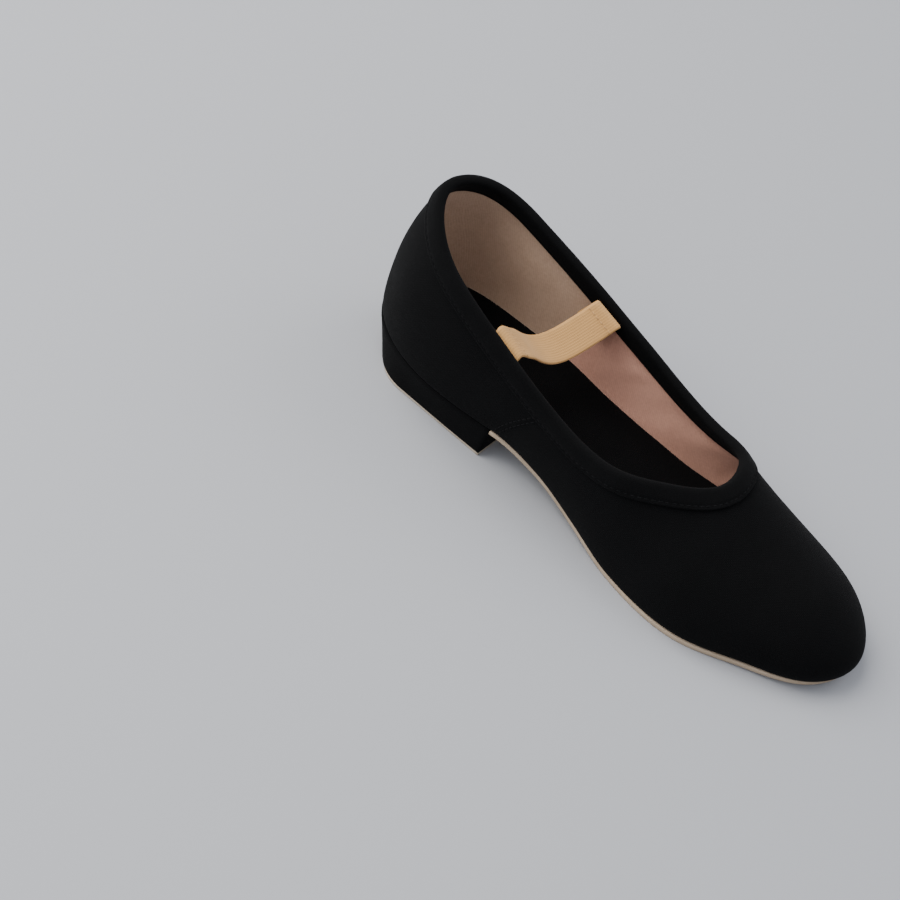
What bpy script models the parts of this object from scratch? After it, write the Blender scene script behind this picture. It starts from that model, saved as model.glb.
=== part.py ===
"""Low-heeled canvas character shoe, right foot, empty and standing on its sole.

Metres, +Z up. The toe points along +X, the outer side of the foot is -Y, and the floor is z = 0.
Each section is a curved rib that climbs from the feather line, where the upper meets the sole,
to the line of the instep. The collar cuts the ribs of the back half open.
"""
import math

import bmesh
import bpy
import numpy as np

LENGTH = 0.245
BALL_WIDTH = 0.080
INSTEP_HEIGHT = 0.059
COLLAR_HEIGHT = 0.0855
HEEL_HEIGHT = 0.0165
BREAST_SHARE = 0.3115
BREAST_TURN = math.radians(6.0)
THROAT_SHARE = 0.671
WALL = 0.0018
GAP = 0.0003
SOLE_THICKNESS = 0.0023
SOLE_EDGE = 0.0008
TOP_PIECE = 0.0013
TOP_INSET = 0.0003
HEEL_EDGE = 0.0005
HEEL_BACK_SLOPE = 0.0116
HEEL_LEAN = 0.0003
HEEL_CORNER = 0.022
TOE_SPRING = 0.004
MARGIN_WIDTH = 0.010
MARGIN_THICKNESS = 0.0015
INSOLE_THICKNESS = 0.0016
INSOLE_CLEARANCE = 0.0005
BINDING_WIDTH = 0.0075
BINDING_INSIDE = 0.0066
BINDING_THICKNESS = 0.0008
BINDING_GAP = 0.00055
STRAP_WIDTH = 0.0148
STRAP_THICKNESS = 0.0012
STRAP_TAB = 0.0150
STRAP_LIFT = 0.0012
TAB_CLEARANCE = 0.0001
TAB_FOLD = 0.0006
SIDE_BLEND = 0.020
TOE_BLEND = 0.012
ORIGIN_X = 0.12172
ORIGIN_Y = -0.00264

# Feather line seen from above: share of the length, then shares of the ball width on each side
PLAN = (
    # share, outer, inner
    (0.050, 0.230, 0.290),
    (0.170, 0.365, 0.380),
    (0.400, 0.346, 0.375),
    (0.620, 0.505, 0.470),
    (0.750, 0.525, 0.465),
    (0.860, 0.405, 0.400),
    (0.955, 0.275, 0.260),
)
TOE_TIP = -0.020

# Feather line seen from the side: share of the length, shares of the heel rise and of the toe spring
FEATHER = (
    # share, heel_rise, toe_rise
    (0.00, 1.000, 0.00),
    (0.30, 1.010, 0.00),
    (0.40, 0.690, 0.00),
    (0.50, 0.290, 0.00),
    (0.60, 0.000, 0.00),
    (0.75, 0.000, 0.00),
    (0.86, 0.000, 0.25),
    (1.00, 0.000, 1.00),
)

# Line of the instep that the ribs climb to: share of the length, share of the instep height,
# share of the step from there to the collar, and how far it lies to the inner side
INSTEP = (
    # share, instep, step, inward
    (0.13, 1.000, 1.760, 0.00),
    (0.34, 1.000, 1.450, 0.00),
    (0.50, 1.000, 0.645, 0.00),
    (0.60, 0.985, 0.000, 0.04),
    (0.75, 0.672, 0.000, 0.02),
    (0.89, 0.540, 0.000, 0.00),
)
TOE_SLOPE = -0.28

# How far each side of a section swells past a plain quarter curve, in shares of the ball width,
# and how full the curve is
SWELL = (
    # share, outer, inner, fullness
    (0.00, 0.0540, 0.0540, 2.36),
    (0.15, 0.0540, 0.0540, 2.40),
    (0.40, 0.0950, 0.0900, 2.35),
    (0.64, 0.0310, 0.0050, 2.00),
    (0.90, 0.0300, 0.0250, 2.00),
    (1.00, 0.0300, 0.0300, 2.00),
)

# Collar seen from the side: share of the length, shares of the step from the throat to the back
COLLAR = (
    # share, outer, inner
    (0.00, 1.000, 1.000),
    (0.10, 0.730, 0.730),
    (0.25, 0.370, 0.370),
    (0.40, 0.000, -0.015),
    (0.50, -0.070, -0.240),
    (0.58, -0.010, -0.300),
    (0.635, 0.010, -0.190),
)

# How far the sole stands out past the feather line: share of the length, shares of the sole edge
SOLE_REACH = (
    # share, outer, inner
    (0.30, 0.50, 0.50),
    (0.45, -0.50, -0.50),
    (0.55, -0.30, -0.30),
    (0.64, 0.40, 0.40),
    (0.75, 1.00, 1.00),
    (0.86, 0.90, 0.90),
    (0.95, 0.20, 0.20),
    (1.00, -0.30, -0.30),
)

# Heel at the floor: half widths at the back and at the front, in shares of the ball width
HEEL_FLOOR = {-1: (0.3375, 0.365), 1: (0.3525, 0.370)}
HEEL_TURN = 1.6

# Slack strap seen from the heel: share of the way across, drop below the line of its ends
STRAP_SAG = (
    # across, drop
    (0.00, 0.000),
    (0.10, 0.030),
    (0.30, 0.155),
    (0.52, 0.225),
    (0.76, 0.145),
    (1.00, 0.000),
)
STRAP_OUTER_SHARE = 0.260
STRAP_INNER_SHARE = 0.332
STRAP_TAB_ROWS = (1.0, 0.73, 0.47, 0.23, 0.05)

TOE = len(PLAN) + 1
ROUND = 2 * TOE
HEEL_ANCHOR = INSTEP[0][0] * LENGTH
TOE_ANCHOR = INSTEP[-1][0] * LENGTH


def smooth(xs, ys, x):
    """Natural cubic spline through a short table."""
    xs, ys = np.asarray(xs, float), np.asarray(ys, float)
    count = len(xs)
    step = np.diff(xs)
    matrix, right = np.eye(count), np.zeros(count)
    for i in range(1, count - 1):
        matrix[i, i - 1:i + 2] = step[i - 1], 2 * (step[i - 1] + step[i]), step[i]
        right[i] = 6 * ((ys[i + 1] - ys[i]) / step[i] - (ys[i] - ys[i - 1]) / step[i - 1])
    bend = np.linalg.solve(matrix, right)
    x = np.clip(x, xs[0], xs[-1])
    i = np.clip(np.searchsorted(xs, x, side="right") - 1, 0, count - 2)
    a, b = (xs[i + 1] - x) / step[i], (x - xs[i]) / step[i]
    return a * ys[i] + b * ys[i + 1] + ((a**3 - a) * bend[i] + (b**3 - b) * bend[i + 1]) * step[i]**2 / 6


def steady(xs, ys, x):
    """Cubic spline through a short table that never overshoots its rows."""
    xs, ys = np.asarray(xs, float), np.asarray(ys, float)
    step, rise = np.diff(xs), np.diff(ys) / np.diff(xs)
    slope = np.zeros(len(xs))
    for i in range(1, len(xs) - 1):
        if rise[i - 1] * rise[i] > 0:
            before, after = 2 * step[i] + step[i - 1], step[i] + 2 * step[i - 1]
            slope[i] = (before + after) / (before / rise[i - 1] + after / rise[i])
    slope[0], slope[-1] = rise[0], rise[-1]
    x = np.clip(x, xs[0], xs[-1])
    i = np.clip(np.searchsorted(xs, x, side="right") - 1, 0, len(xs) - 2)
    h = step[i]
    s = (x - xs[i]) / h
    return ((2 * s**3 - 3 * s**2 + 1) * ys[i] + (s**3 - 2 * s**2 + s) * h * slope[i]
            + (-2 * s**3 + 3 * s**2) * ys[i + 1] + (s**3 - s**2) * h * slope[i + 1])


def column(table, index, scale=1.0):
    return [row[index] * scale for row in table]


def plan_points():
    """Corners of the feather line: heel, outer side, toe tip, inner side."""
    outer = [(row[0] * LENGTH, -row[1] * BALL_WIDTH) for row in PLAN]
    inner = [(row[0] * LENGTH, row[2] * BALL_WIDTH) for row in reversed(PLAN)]
    return np.array([(0.0, 0.0)] + outer + [(LENGTH, TOE_TIP * BALL_WIDTH)] + inner)


def closed_bend(points):
    """Second derivatives of the closed cubic spline through the points, spaced by chord length."""
    count = len(points)
    chord = np.linalg.norm(np.roll(points, -1, 0) - points, axis=1)
    matrix, right = np.zeros((count, count)), np.zeros((count, 2))
    for i in range(count):
        before, after, following = chord[i - 1], chord[i], (i + 1) % count
        matrix[i, i - 1] += before
        matrix[i, i] += 2 * (before + after)
        matrix[i, following] += after
        right[i] = 6 * ((points[following] - points[i]) / after - (points[i] - points[i - 1]) / before)
    return chord, np.linalg.solve(matrix, right)


PLAN_POINTS = plan_points()
CHORD, PLAN_BEND = closed_bend(PLAN_POINTS)


def plan(t):
    """Feather line from above at t, which runs 0 to ROUND: heel 0, outer side, toe TOE, inner side."""
    t = np.atleast_1d(np.asarray(t, float)) % ROUND
    i = np.floor(t).astype(int) % ROUND
    j = (i + 1) % ROUND
    b = (t - np.floor(t))[:, None]
    a = 1 - b
    return (a * PLAN_POINTS[i] + b * PLAN_POINTS[j]
            + ((a**3 - a) * PLAN_BEND[i] + (b**3 - b) * PLAN_BEND[j]) * CHORD[i][:, None]**2 / 6)


def outward(t):
    """Unit direction away from the feather line, seen from above."""
    run = plan(np.asarray(t) + 0.01) - plan(np.asarray(t) - 0.01)
    run /= np.linalg.norm(run, axis=1)[:, None]
    return np.stack([run[:, 1], -run[:, 0]], 1)


def feather_height(x):
    base = SOLE_THICKNESS + GAP
    rise = HEEL_HEIGHT - base
    heights = [base + row[1] * rise + row[2] * TOE_SPRING for row in FEATHER]
    return steady(column(FEATHER, 0, LENGTH), heights, x)


def instep_height(x):
    heights = [row[1] * INSTEP_HEIGHT + row[2] * (COLLAR_HEIGHT - INSTEP_HEIGHT) for row in INSTEP]
    return steady(column(INSTEP, 0, LENGTH), heights, x)


def instep_side(x):
    return steady(column(INSTEP, 0, LENGTH), column(INSTEP, 3, BALL_WIDTH), x)


def collar_height(x, side):
    """Height of the collar on the outer side, column 1, or the inner side, column 2."""
    throat = THROAT_SHARE * LENGTH
    low = float(instep_height(throat))
    heights = [low + row[side] * (COLLAR_HEIGHT - low) for row in COLLAR]
    return smooth(column(COLLAR, 0, LENGTH) + [throat], heights + [low], x)


def rib_top(foot, twin):
    """Where ribs meet on the instep line, easing to one place for the ribs that fan out round the toe."""
    middle = (foot[:, 0] + twin[:, 0]) / 2
    over = np.clip(middle - (TOE_ANCHOR - TOE_BLEND), 0, 2 * TOE_BLEND)
    return np.maximum(np.minimum(middle, TOE_ANCHOR + TOE_BLEND) - over**2 / (4 * TOE_BLEND), HEEL_ANCHOR)


def last_point(t, s):
    """Outer face of the upper: t round the feather line, s up the rib from 0 to 1 at the instep line."""
    t = np.atleast_1d(np.asarray(t, float))
    s = np.clip(np.broadcast_to(np.asarray(s, float), t.shape), 0.0, 1.0)
    foot, twin = plan(t), plan(ROUND - t)
    anchor_x = rib_top(foot, twin)
    anchor = np.stack([anchor_x, instep_side(anchor_x)], 1)
    reach = anchor - foot
    distance = np.linalg.norm(reach, axis=1)
    reach /= distance[:, None]
    shares = column(SWELL, 0, LENGTH)
    outer = steady(shares, column(SWELL, 1, BALL_WIDTH), foot[:, 0])
    inner = steady(shares, column(SWELL, 2, BALL_WIDTH), foot[:, 0])
    blend = np.clip(0.5 + (foot[:, 1] - anchor[:, 1]) / SIDE_BLEND, 0, 1)
    swell = outer + (inner - outer) * blend
    power = 2 / steady(shares, column(SWELL, 3), foot[:, 0])
    turn = s * math.pi / 2
    inwards = 1 - np.maximum(np.cos(turn), 0)**power
    climb = np.sin(turn)**power
    travel = distance * inwards - swell * np.sin(math.pi * s**0.63)
    place = foot + reach * travel[:, None]
    fan = foot[:, 0] > TOE_ANCHOR - TOE_BLEND
    top = instep_height(anchor_x) + fan * TOE_SLOPE * (place[:, 0] - anchor_x)
    base = feather_height(foot[:, 0])
    return np.column_stack([place, base + (top - base) * climb])


def last_normal(t, s):
    """Unit direction out of the upper's outer face."""
    t = np.atleast_1d(np.asarray(t, float))
    s = np.broadcast_to(np.asarray(s, float), t.shape)
    low, high = np.clip(s - 0.01, 0.0, 0.985), np.clip(s + 0.01, 0.015, 1.0)
    up = last_point(t, high) - last_point(t, low)
    hold = np.minimum(s, 0.985)
    along = last_point(t + 0.01, hold) - last_point(t - 0.01, hold)
    normal = np.cross(along, up)
    return normal / np.linalg.norm(normal, axis=1)[:, None]


def rim_share(t):
    """Rib share at which the collar cuts the rib, or 1 ahead of the throat."""
    t = float(t)
    if min(t, ROUND - t) >= THROAT - 1e-9:
        return 1.0
    s = np.linspace(0.2, 1, 400)
    points = last_point(np.full(s.shape, t), s)
    over = points[:, 2] - collar_height(points[:, 0], 1 if t % ROUND <= TOE else 2)
    i = int(np.argmax(over > 0))
    return float(s[i - 1] + (s[i] - s[i - 1]) * -over[i - 1] / (over[i] - over[i - 1]))


def throat_place():
    """t of the rib whose top is the throat of the collar."""
    t = np.linspace(4, 5, 400)
    return float(np.interp(THROAT_SHARE * LENGTH, rib_top(plan(t), plan(ROUND - t)), t))


THROAT = throat_place()


def stations():
    """Places of the ribs along the outer side, from heel to toe, closer near the throat and the toe."""
    places = list(np.linspace(0, 1, 5)) + list(np.linspace(1, 2, 5)[1:]) + list(np.linspace(2, 3, 7)[1:])
    places += list(np.linspace(3, 3.9, 8)[1:])
    places += [THROAT - (THROAT - 3.9) * share for share in (0.72, 0.48, 0.28, 0.12, 0.03)]
    ahead = list(np.linspace(THROAT, 5, 4)) + list(np.linspace(5, 6, 4)[1:]) + list(np.linspace(6, 7, 4)[1:])
    return places + ahead + list(np.linspace(7, 8, 5)[1:])


OUTER_SIDE = stations()
RIBS = OUTER_SIDE + [ROUND - t for t in reversed(OUTER_SIDE[1:-1])]
THROAT_RIB = OUTER_SIDE.index(THROAT)


def rib_shares(t, start, fractions):
    """Rib shares that split the rib between the height start above the feather line and the rim."""
    s = np.linspace(0, rim_share(t), 300)
    points = last_point(np.full(s.shape, t), s)
    length = np.concatenate([[0], np.cumsum(np.linalg.norm(np.diff(points, axis=0), axis=1))])
    first = np.interp(start, points[:60, 2] - points[0, 2], length[:60])
    return np.interp(first + (length[-1] - first) * np.asarray(fractions), length, s)


def material(name, colour, roughness):
    made = bpy.data.materials.new(name)
    made.use_nodes = True
    shader = made.node_tree.nodes["Principled BSDF"]
    shader.inputs["Base Color"].default_value = (*colour, 1.0)
    shader.inputs["Roughness"].default_value = roughness
    shader.inputs["Metallic"].default_value = 0.0
    made.diffuse_color = (*colour, 1.0)
    return made


def make(name, points, faces, colour, roughness):
    """One closed solid from shared points and faces."""
    shape = bmesh.new()
    corners = [shape.verts.new((p[0] - ORIGIN_X, p[1] - ORIGIN_Y, p[2])) for p in points]
    for face in faces:
        ring = []
        for index in face:
            if corners[index] not in ring:
                ring.append(corners[index])
        if len(ring) > 2:
            shape.faces.new(ring)
    loose = [corner for corner in shape.verts if not corner.link_faces]
    bmesh.ops.delete(shape, geom=loose, context="VERTS")
    bmesh.ops.recalc_face_normals(shape, faces=shape.faces[:])
    mesh = bpy.data.meshes.new(name)
    shape.to_mesh(mesh)
    shape.free()
    piece = bpy.data.objects.new(name, mesh)
    bpy.context.collection.objects.link(piece)
    mesh.materials.append(material(name, colour, roughness))
    mesh.shade_smooth()
    mesh.set_sharp_from_angle(angle=math.radians(35))
    return piece


def upper():
    """Hollow upper: outer face, rim at the collar, inner face, and a margin turned in under the insole."""
    outer_rows = (0, 0.06, 0.14, 0.24, 0.36, 0.50, 0.64, 0.78, 0.90, 1.0)
    inner_rows = outer_rows[::-1]
    points, columns = [], []
    for index, t in enumerate(RIBS):
        shares = rib_shares(t, 0.0, outer_rows)
        times = np.full(shares.shape, t)
        outside = last_point(times, shares)
        inner_shares = rib_shares(t, MARGIN_THICKNESS, inner_rows)
        inside = last_point(times, inner_shares) - WALL * last_normal(times, inner_shares)
        foot, away = plan(t)[0], outward([t])[0]
        inside[-1, 2] = feather_height(inside[-1, 0]) + MARGIN_THICKNESS
        edge = foot - away * (WALL + MARGIN_WIDTH)
        floor = float(feather_height(edge[0]))
        rows = [*outside, *inside, (*edge, floor + MARGIN_THICKNESS), (*edge, floor)]
        places = []
        for row, point in enumerate(rows):
            places.append(len(points))
            points.append(point)
        columns.append(places)
    top, under = len(outer_rows) - 1, len(outer_rows)
    count = len(columns)
    for index in range(THROAT_RIB, count - THROAT_RIB + 1):
        twin = count - index
        source = columns[index] if index < twin else columns[twin % count]
        for row in (top, under):
            columns[index][row] = source[row]
    fan = [i for i in range(THROAT_RIB, count - THROAT_RIB + 1)
           if rib_top(plan(RIBS[i]), plan(ROUND - RIBS[i]))[0] >= TOE_ANCHOR - GAP]
    slope = np.array([-TOE_SLOPE, 0.0, 1.0])
    for index in fan:
        for row in (top, under):
            columns[index][row] = columns[fan[0]][row]
    points[columns[fan[0]][under]] = points[columns[fan[0]][top]] - WALL * slope / np.linalg.norm(slope)
    faces = []
    depth = len(columns[0])
    for index in range(count):
        following = (index + 1) % count
        closed = THROAT_RIB <= index and following <= count - THROAT_RIB and following != 0
        for row in range(depth):
            if closed and row == top:
                continue
            below = (row + 1) % depth
            faces.append((columns[index][row], columns[index][below],
                          columns[following][below], columns[following][row]))
    return make("upper", points, faces, (0.012, 0.012, 0.013), 0.92)


def walk(t, s, target):
    """Place on the outer face closest to a target point, found from a start nearby."""
    for _ in range(12):
        here = last_point([t], s)[0]
        step_s = -1e-3 if s > 0.5 else 1e-3
        grade = np.column_stack([(last_point([t + 1e-3], s)[0] - here) / 1e-3,
                                 (last_point([t], s + step_s)[0] - here) / step_s])
        move = np.linalg.solve(grade.T @ grade + 1e-9 * np.eye(2), grade.T @ (target - here))
        move = np.clip(move, (-0.25, -0.12), (0.25, 0.12))
        t, s = t + move[0], float(np.clip(s + move[1], 0.02, 1.0))
    return t, s


def collar_line():
    """Rim of the upper as a closed loop: places, points, and directions out and away from the foot."""
    ribs = list(range(THROAT_RIB, -1, -1)) + list(range(len(RIBS) - 1, len(RIBS) - THROAT_RIB, -1))
    places = [(RIBS[i], rim_share(RIBS[i])) for i in ribs]
    points = np.array([last_point([t], s)[0] for t, s in places])
    outs = np.array([last_normal([t], s)[0] for t, s in places])
    outs[0, 1] = 0.0
    along = np.roll(points, -1, 0) - np.roll(points, 1, 0)
    along[0] = (0.0, -1.0, 0.0)
    along /= np.linalg.norm(along, axis=1)[:, None]
    away = np.cross(outs, along)
    away /= np.linalg.norm(away, axis=1)[:, None]
    if away[THROAT_RIB, 2] > 0:
        away = -away
    return places, points, outs, away


def binding():
    """Tape folded over the rim of the collar, outside and inside."""
    places, points, outs, away = collar_line()
    near, far = WALL + BINDING_GAP, WALL + BINDING_GAP + BINDING_THICKNESS
    over = BINDING_GAP + BINDING_THICKNESS
    section = (
        # down from the rim, out from the outer face
        (BINDING_WIDTH, over), (0.5 * BINDING_WIDTH, over), (0.0, over), (-0.8 * over, 0.4 * over),
        (-over, -0.5 * WALL), (-0.8 * over, -WALL - 0.4 * over), (0.0, -far), (0.5 * BINDING_INSIDE, -far),
        (BINDING_INSIDE, -far), (BINDING_INSIDE, -near), (0.5 * BINDING_INSIDE, -near),
        (-BINDING_GAP, -near), (-BINDING_GAP, BINDING_GAP),
        (0.5 * BINDING_WIDTH, BINDING_GAP), (BINDING_WIDTH, BINDING_GAP),
    )
    verts, faces = [], []
    for (t, s), point, out, down in zip(places, points, outs, away):
        found = {0.0: (point, out)}
        for depth in (0.5 * BINDING_WIDTH, BINDING_WIDTH, 0.5 * BINDING_INSIDE, BINDING_INSIDE):
            there = walk(t, s, point + down * depth)
            found[depth] = (last_point([there[0]], there[1])[0], last_normal([there[0]], there[1])[0])
        for depth, lift in section:
            base, direction = found[max(depth, 0.0)]
            shift = down * min(depth, 0.0)
            verts.append(base + direction * lift + shift)
    width, count = len(section), len(places)
    for i in range(count):
        for k in range(width):
            faces.append((i * width + k, i * width + (k + 1) % width,
                          ((i + 1) % count) * width + (k + 1) % width, ((i + 1) % count) * width + k))
    return make("topline_binding", verts, faces, (0.010, 0.010, 0.011), 0.85)


def ladder(rings, first_cap, last_cap):
    """Faces of a solid made of matching rings, closed by cross strips at both ends."""
    count = len(rings[0])
    faces = []
    for lower, higher in zip(rings, rings[1:]):
        for i in range(count):
            j = (i + 1) % count
            faces.append((lower[i], lower[j], higher[j], higher[i]))
    for ring, wanted in ((rings[0], first_cap), (rings[-1], last_cap)):
        if wanted:
            for i in range(count // 2):
                facing, after = (count - i) % count, (count - i - 1) % count
                faces.append((ring[i], ring[i + 1], ring[after], ring[facing]))
    return faces


def stack(name, levels, colour, roughness):
    """Solid from a list of rings of points, closed at both ends."""
    points, rings = [], []
    for level in levels:
        rings.append(list(range(len(points), len(points) + len(level))))
        points.extend(level)
    return make(name, points, ladder(rings, True, True), colour, roughness)


def insole():
    """Insole inside the upper, with a thicker middle that fills the space between the turned margins."""
    edge, core = [], []
    for t in RIBS:
        share = rib_shares(t, MARGIN_THICKNESS, (0.0,))
        wall = (last_point([t], share[0]) - WALL * last_normal([t], share[0]))[0]
        away = outward([t])[0]
        edge.append(wall[:2] - away * INSOLE_CLEARANCE)
        core.append(plan(t)[0] - away * (WALL + MARGIN_WIDTH + INSOLE_CLEARANCE))
    low = MARGIN_THICKNESS + GAP
    levels = []
    for ring, lift in ((core, GAP), (core, low), (edge, low), (edge, low + INSOLE_THICKNESS)):
        levels.append([(p[0], p[1], float(feather_height(p[0])) + lift) for p in ring])
    return stack("insole", levels, (0.016, 0.015, 0.015), 0.85)


def breast_x(y):
    """Front of the heel, which runs slightly askew across the shoe."""
    return BREAST_SHARE * LENGTH + math.tan(BREAST_TURN) * y


def side_of_breast(offset):
    """Places on the outer and inner side where the outline, moved out by offset, meets the breast."""
    found = []
    for t in (np.linspace(1, 3, 400), np.linspace(ROUND - 1, ROUND - 3, 400)):
        points = plan(t) + outward(t) * offset
        past = points[:, 0] - breast_x(points[:, 1])
        found.append(float(np.interp(0.0, past, t)))
    return found


def sole_line(t):
    """Outline of the sole from above, which tucks in under the waist and the toe."""
    line, away = plan(t), outward(t)
    side = np.where(np.atleast_1d(t) <= TOE, 1, 2)
    shares = column(SOLE_REACH, 0, LENGTH)
    reach = [steady(shares, column(SOLE_REACH, k, SOLE_EDGE), line[:, 0]) for k in (1, 2)]
    return line + away * np.where(side == 1, reach[0], reach[1])[:, None]


def outsole():
    """Thin flat sole from the breast of the heel to the toe, with arch and toe spring."""
    start, finish = side_of_breast(SOLE_EDGE)
    start, finish = start + 0.01, finish - 0.01
    inside = [t for t in RIBS if start + 0.08 < t < finish - 0.08]
    outline = [start] + inside + [finish]
    ring = sole_line(outline)
    for end in (0, -1):
        ring[end, 0] = breast_x(ring[end, 1]) + GAP
    levels = []
    for drop in (SOLE_THICKNESS, 0.0):
        levels.append([(p[0], p[1], float(feather_height(p[0])) - GAP - drop) for p in ring])
    count = len(outline)
    points = levels[0] + levels[1]
    faces = [(i, i + 1, count + i + 1, count + i) for i in range(count - 1)]
    faces.append((count - 1, 0, count, 2 * count - 1))
    for shift in (0, count):
        for i in range(count // 2):
            faces.append((shift + i, shift + i + 1, shift + count - i - 2, shift + count - i - 1))
    return make("outsole", points, faces, (0.62, 0.53, 0.41), 0.75)


def floor_outline(t, start, finish):
    """Outline of the heel at the floor, squarer at the back than the seat above it."""
    side = -1 if t < TOE else 1
    place, end = (t, start) if side < 0 else (ROUND - t, ROUND - finish)
    turn = min(place / HEEL_TURN, 1.0) * math.pi / 2
    back_width, front_width = (share * BALL_WIDTH for share in HEEL_FLOOR[side])
    x = HEEL_BACK_SLOPE + HEEL_CORNER * (1 - math.cos(turn)**0.85)
    y = back_width * math.sin(turn)**0.85
    if place > HEEL_TURN:
        share = (place - HEEL_TURN) / (end - HEEL_TURN)
        y = back_width + (front_width - back_width) * share
        x += (breast_x(side * front_width) - x) * share
    return x, side * y


def heel_ring(share, offset):
    """Outline of the heel a share of the way from the seat to the floor."""
    start, finish = side_of_breast(HEEL_EDGE)
    side = [t for t in OUTER_SIDE if t < start - 0.08]
    other = [t for t in RIBS if t > finish + 0.08]
    outline = [start] + side[::-1] + other[::-1] + [finish]
    seat = plan(outline) + outward(outline) * (HEEL_EDGE + offset)
    ground = np.array([floor_outline(t, start, finish) for t in outline])
    ground += outward(outline) * offset
    ring = seat * (1 - share) + ground * share
    for end in (0, -1):
        ring[end, 0] = breast_x(ring[end, 1]) + HEEL_LEAN * share
    return ring


def heel_block():
    """Covered heel block under the seat, with its back drawn forward to the floor."""
    high = HEEL_HEIGHT - GAP
    low = TOP_PIECE + GAP
    levels = []
    for share in (0.0, 0.04, 0.35, 0.68, 1.0):
        height = high + (low - high) * share
        ring = heel_ring(1 - height / high, -GAP if share == 0.0 else 0.0)
        levels.append([(p[0], p[1], height) for p in ring])
    return block("heel_block", levels, (0.011, 0.011, 0.012), 0.9)


def heel_top_piece():
    """Thin piece under the heel that meets the floor."""
    levels = []
    for share, height in ((0.93, TOP_PIECE), (1.0, 0.0)):
        levels.append([(p[0], p[1], height) for p in heel_ring(share, -TOP_INSET)])
    return block("heel_top_piece", levels, (0.66, 0.60, 0.50), 0.7)


def block(name, levels, colour, roughness):
    """Solid between open outlines that share a straight front."""
    count = len(levels[0])
    points = [point for level in levels for point in level]
    faces = []
    for k in range(len(levels) - 1):
        a, b = k * count, (k + 1) * count
        faces += [(a + i, a + i + 1, b + i + 1, b + i) for i in range(count - 1)]
        faces.append((a + count - 1, a, b, b + count - 1))
    for shift in (0, (len(levels) - 1) * count):
        for i in range(count // 2):
            faces.append((shift + i, shift + i + 1, shift + count - i - 2, shift + count - i - 1))
    return make(name, points, faces, colour, roughness)


def inner_face(t, depth):
    """Point a given way down the inside of the binding, with the directions in and along the rim."""
    share = rim_share(t)
    rim = last_point([t], share)[0]
    along = last_point([t + 0.02], rim_share(t + 0.02))[0] - last_point([t - 0.02], rim_share(t - 0.02))[0]
    along /= np.linalg.norm(along)
    if along[0] < 0:
        along = -along
    out = last_normal([t], share)[0]
    down = np.cross(out, along)
    if down[2] > 0:
        down = -down
    there = walk(t, share, rim + down * depth)
    point, out = last_point([there[0]], there[1])[0], last_normal([there[0]], there[1])[0]
    return point - out * (WALL + BINDING_GAP + GAP + BINDING_THICKNESS), -out, along


def strap():
    """Slack elastic strap: a tab sewn inside each side, a fold near the rim, and a sagging middle."""
    ends = []
    for place, side in ((STRAP_OUTER_SHARE, 1), (STRAP_INNER_SHARE, -1)):
        t = np.linspace(1, 4, 60) if side == 1 else ROUND - np.linspace(1, 4, 60)
        rims = [last_point([v], rim_share(v))[0][0] for v in t]
        ends.append(float(np.interp(place * LENGTH, rims, t)))
    half = STRAP_THICKNESS / 2
    tabs, turns = [], []
    for t in ends:
        rows = []
        for share in STRAP_TAB_ROWS:
            point, inwards, along = inner_face(t, share * STRAP_TAB)
            clear = TAB_CLEARANCE + (TAB_FOLD if share == STRAP_TAB_ROWS[-1] else 0.0)
            rows.append((point + inwards * (half + clear), along))
        tabs.append(rows)
        inset = 3 * half + TAB_CLEARANCE + GAP + TAB_FOLD
        turns.append((point + inwards * inset + (0, 0, STRAP_LIFT), along))
    path = [point for point, along in tabs[0]]
    across = [along for point, along in tabs[0]]
    start, finish = turns
    span = float(np.linalg.norm(finish[0] - start[0]))
    for share in np.linspace(0, 1, 13):
        drop = span * float(smooth(column(STRAP_SAG, 0), column(STRAP_SAG, 1), share))
        path.append(start[0] + (finish[0] - start[0]) * share - np.array([0, 0, drop]))
        across.append(start[1] + (finish[1] - start[1]) * share)
    path += [point for point, along in reversed(tabs[1])]
    across += [along for point, along in reversed(tabs[1])]
    path, across = np.array(path), np.array(across)
    across /= np.linalg.norm(across, axis=1)[:, None]
    run = np.gradient(path, axis=0)
    face = np.cross(run, across)
    face /= np.linalg.norm(face, axis=1)[:, None]
    verts, faces = [], []
    widths = np.linspace(-0.5, 0.5, 3) * STRAP_WIDTH
    for point, wide, thick in zip(path, across, face):
        for lift in (half, -half):
            for shift in (widths if lift > 0 else widths[::-1]):
                verts.append(point + wide * shift + thick * lift)
    ring = 2 * len(widths)
    for i in range(len(path) - 1):
        for k in range(ring):
            faces.append((i * ring + k, i * ring + (k + 1) % ring,
                          (i + 1) * ring + (k + 1) % ring, (i + 1) * ring + k))
    for base in (0, (len(path) - 1) * ring):
        faces.append((base, base + 1, base + 4, base + 5))
        faces.append((base + 1, base + 2, base + 3, base + 4))
    return make("elastic_strap", verts, faces, (0.74, 0.62, 0.45), 0.8)


for old in list(bpy.data.objects):
    bpy.data.objects.remove(old, do_unlink=True)

upper()
binding()
insole()
outsole()
heel_block()
heel_top_piece()
strap()
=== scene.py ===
"""Dressed model of the low-heeled canvas character shoe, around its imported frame.

The upper, tape, insole, sole, heel and strap are rebuilt finely from the shoe's own named sizes.
"""
import math

import bmesh
import bpy
import numpy as np
from mathutils import Matrix, Vector


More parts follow.
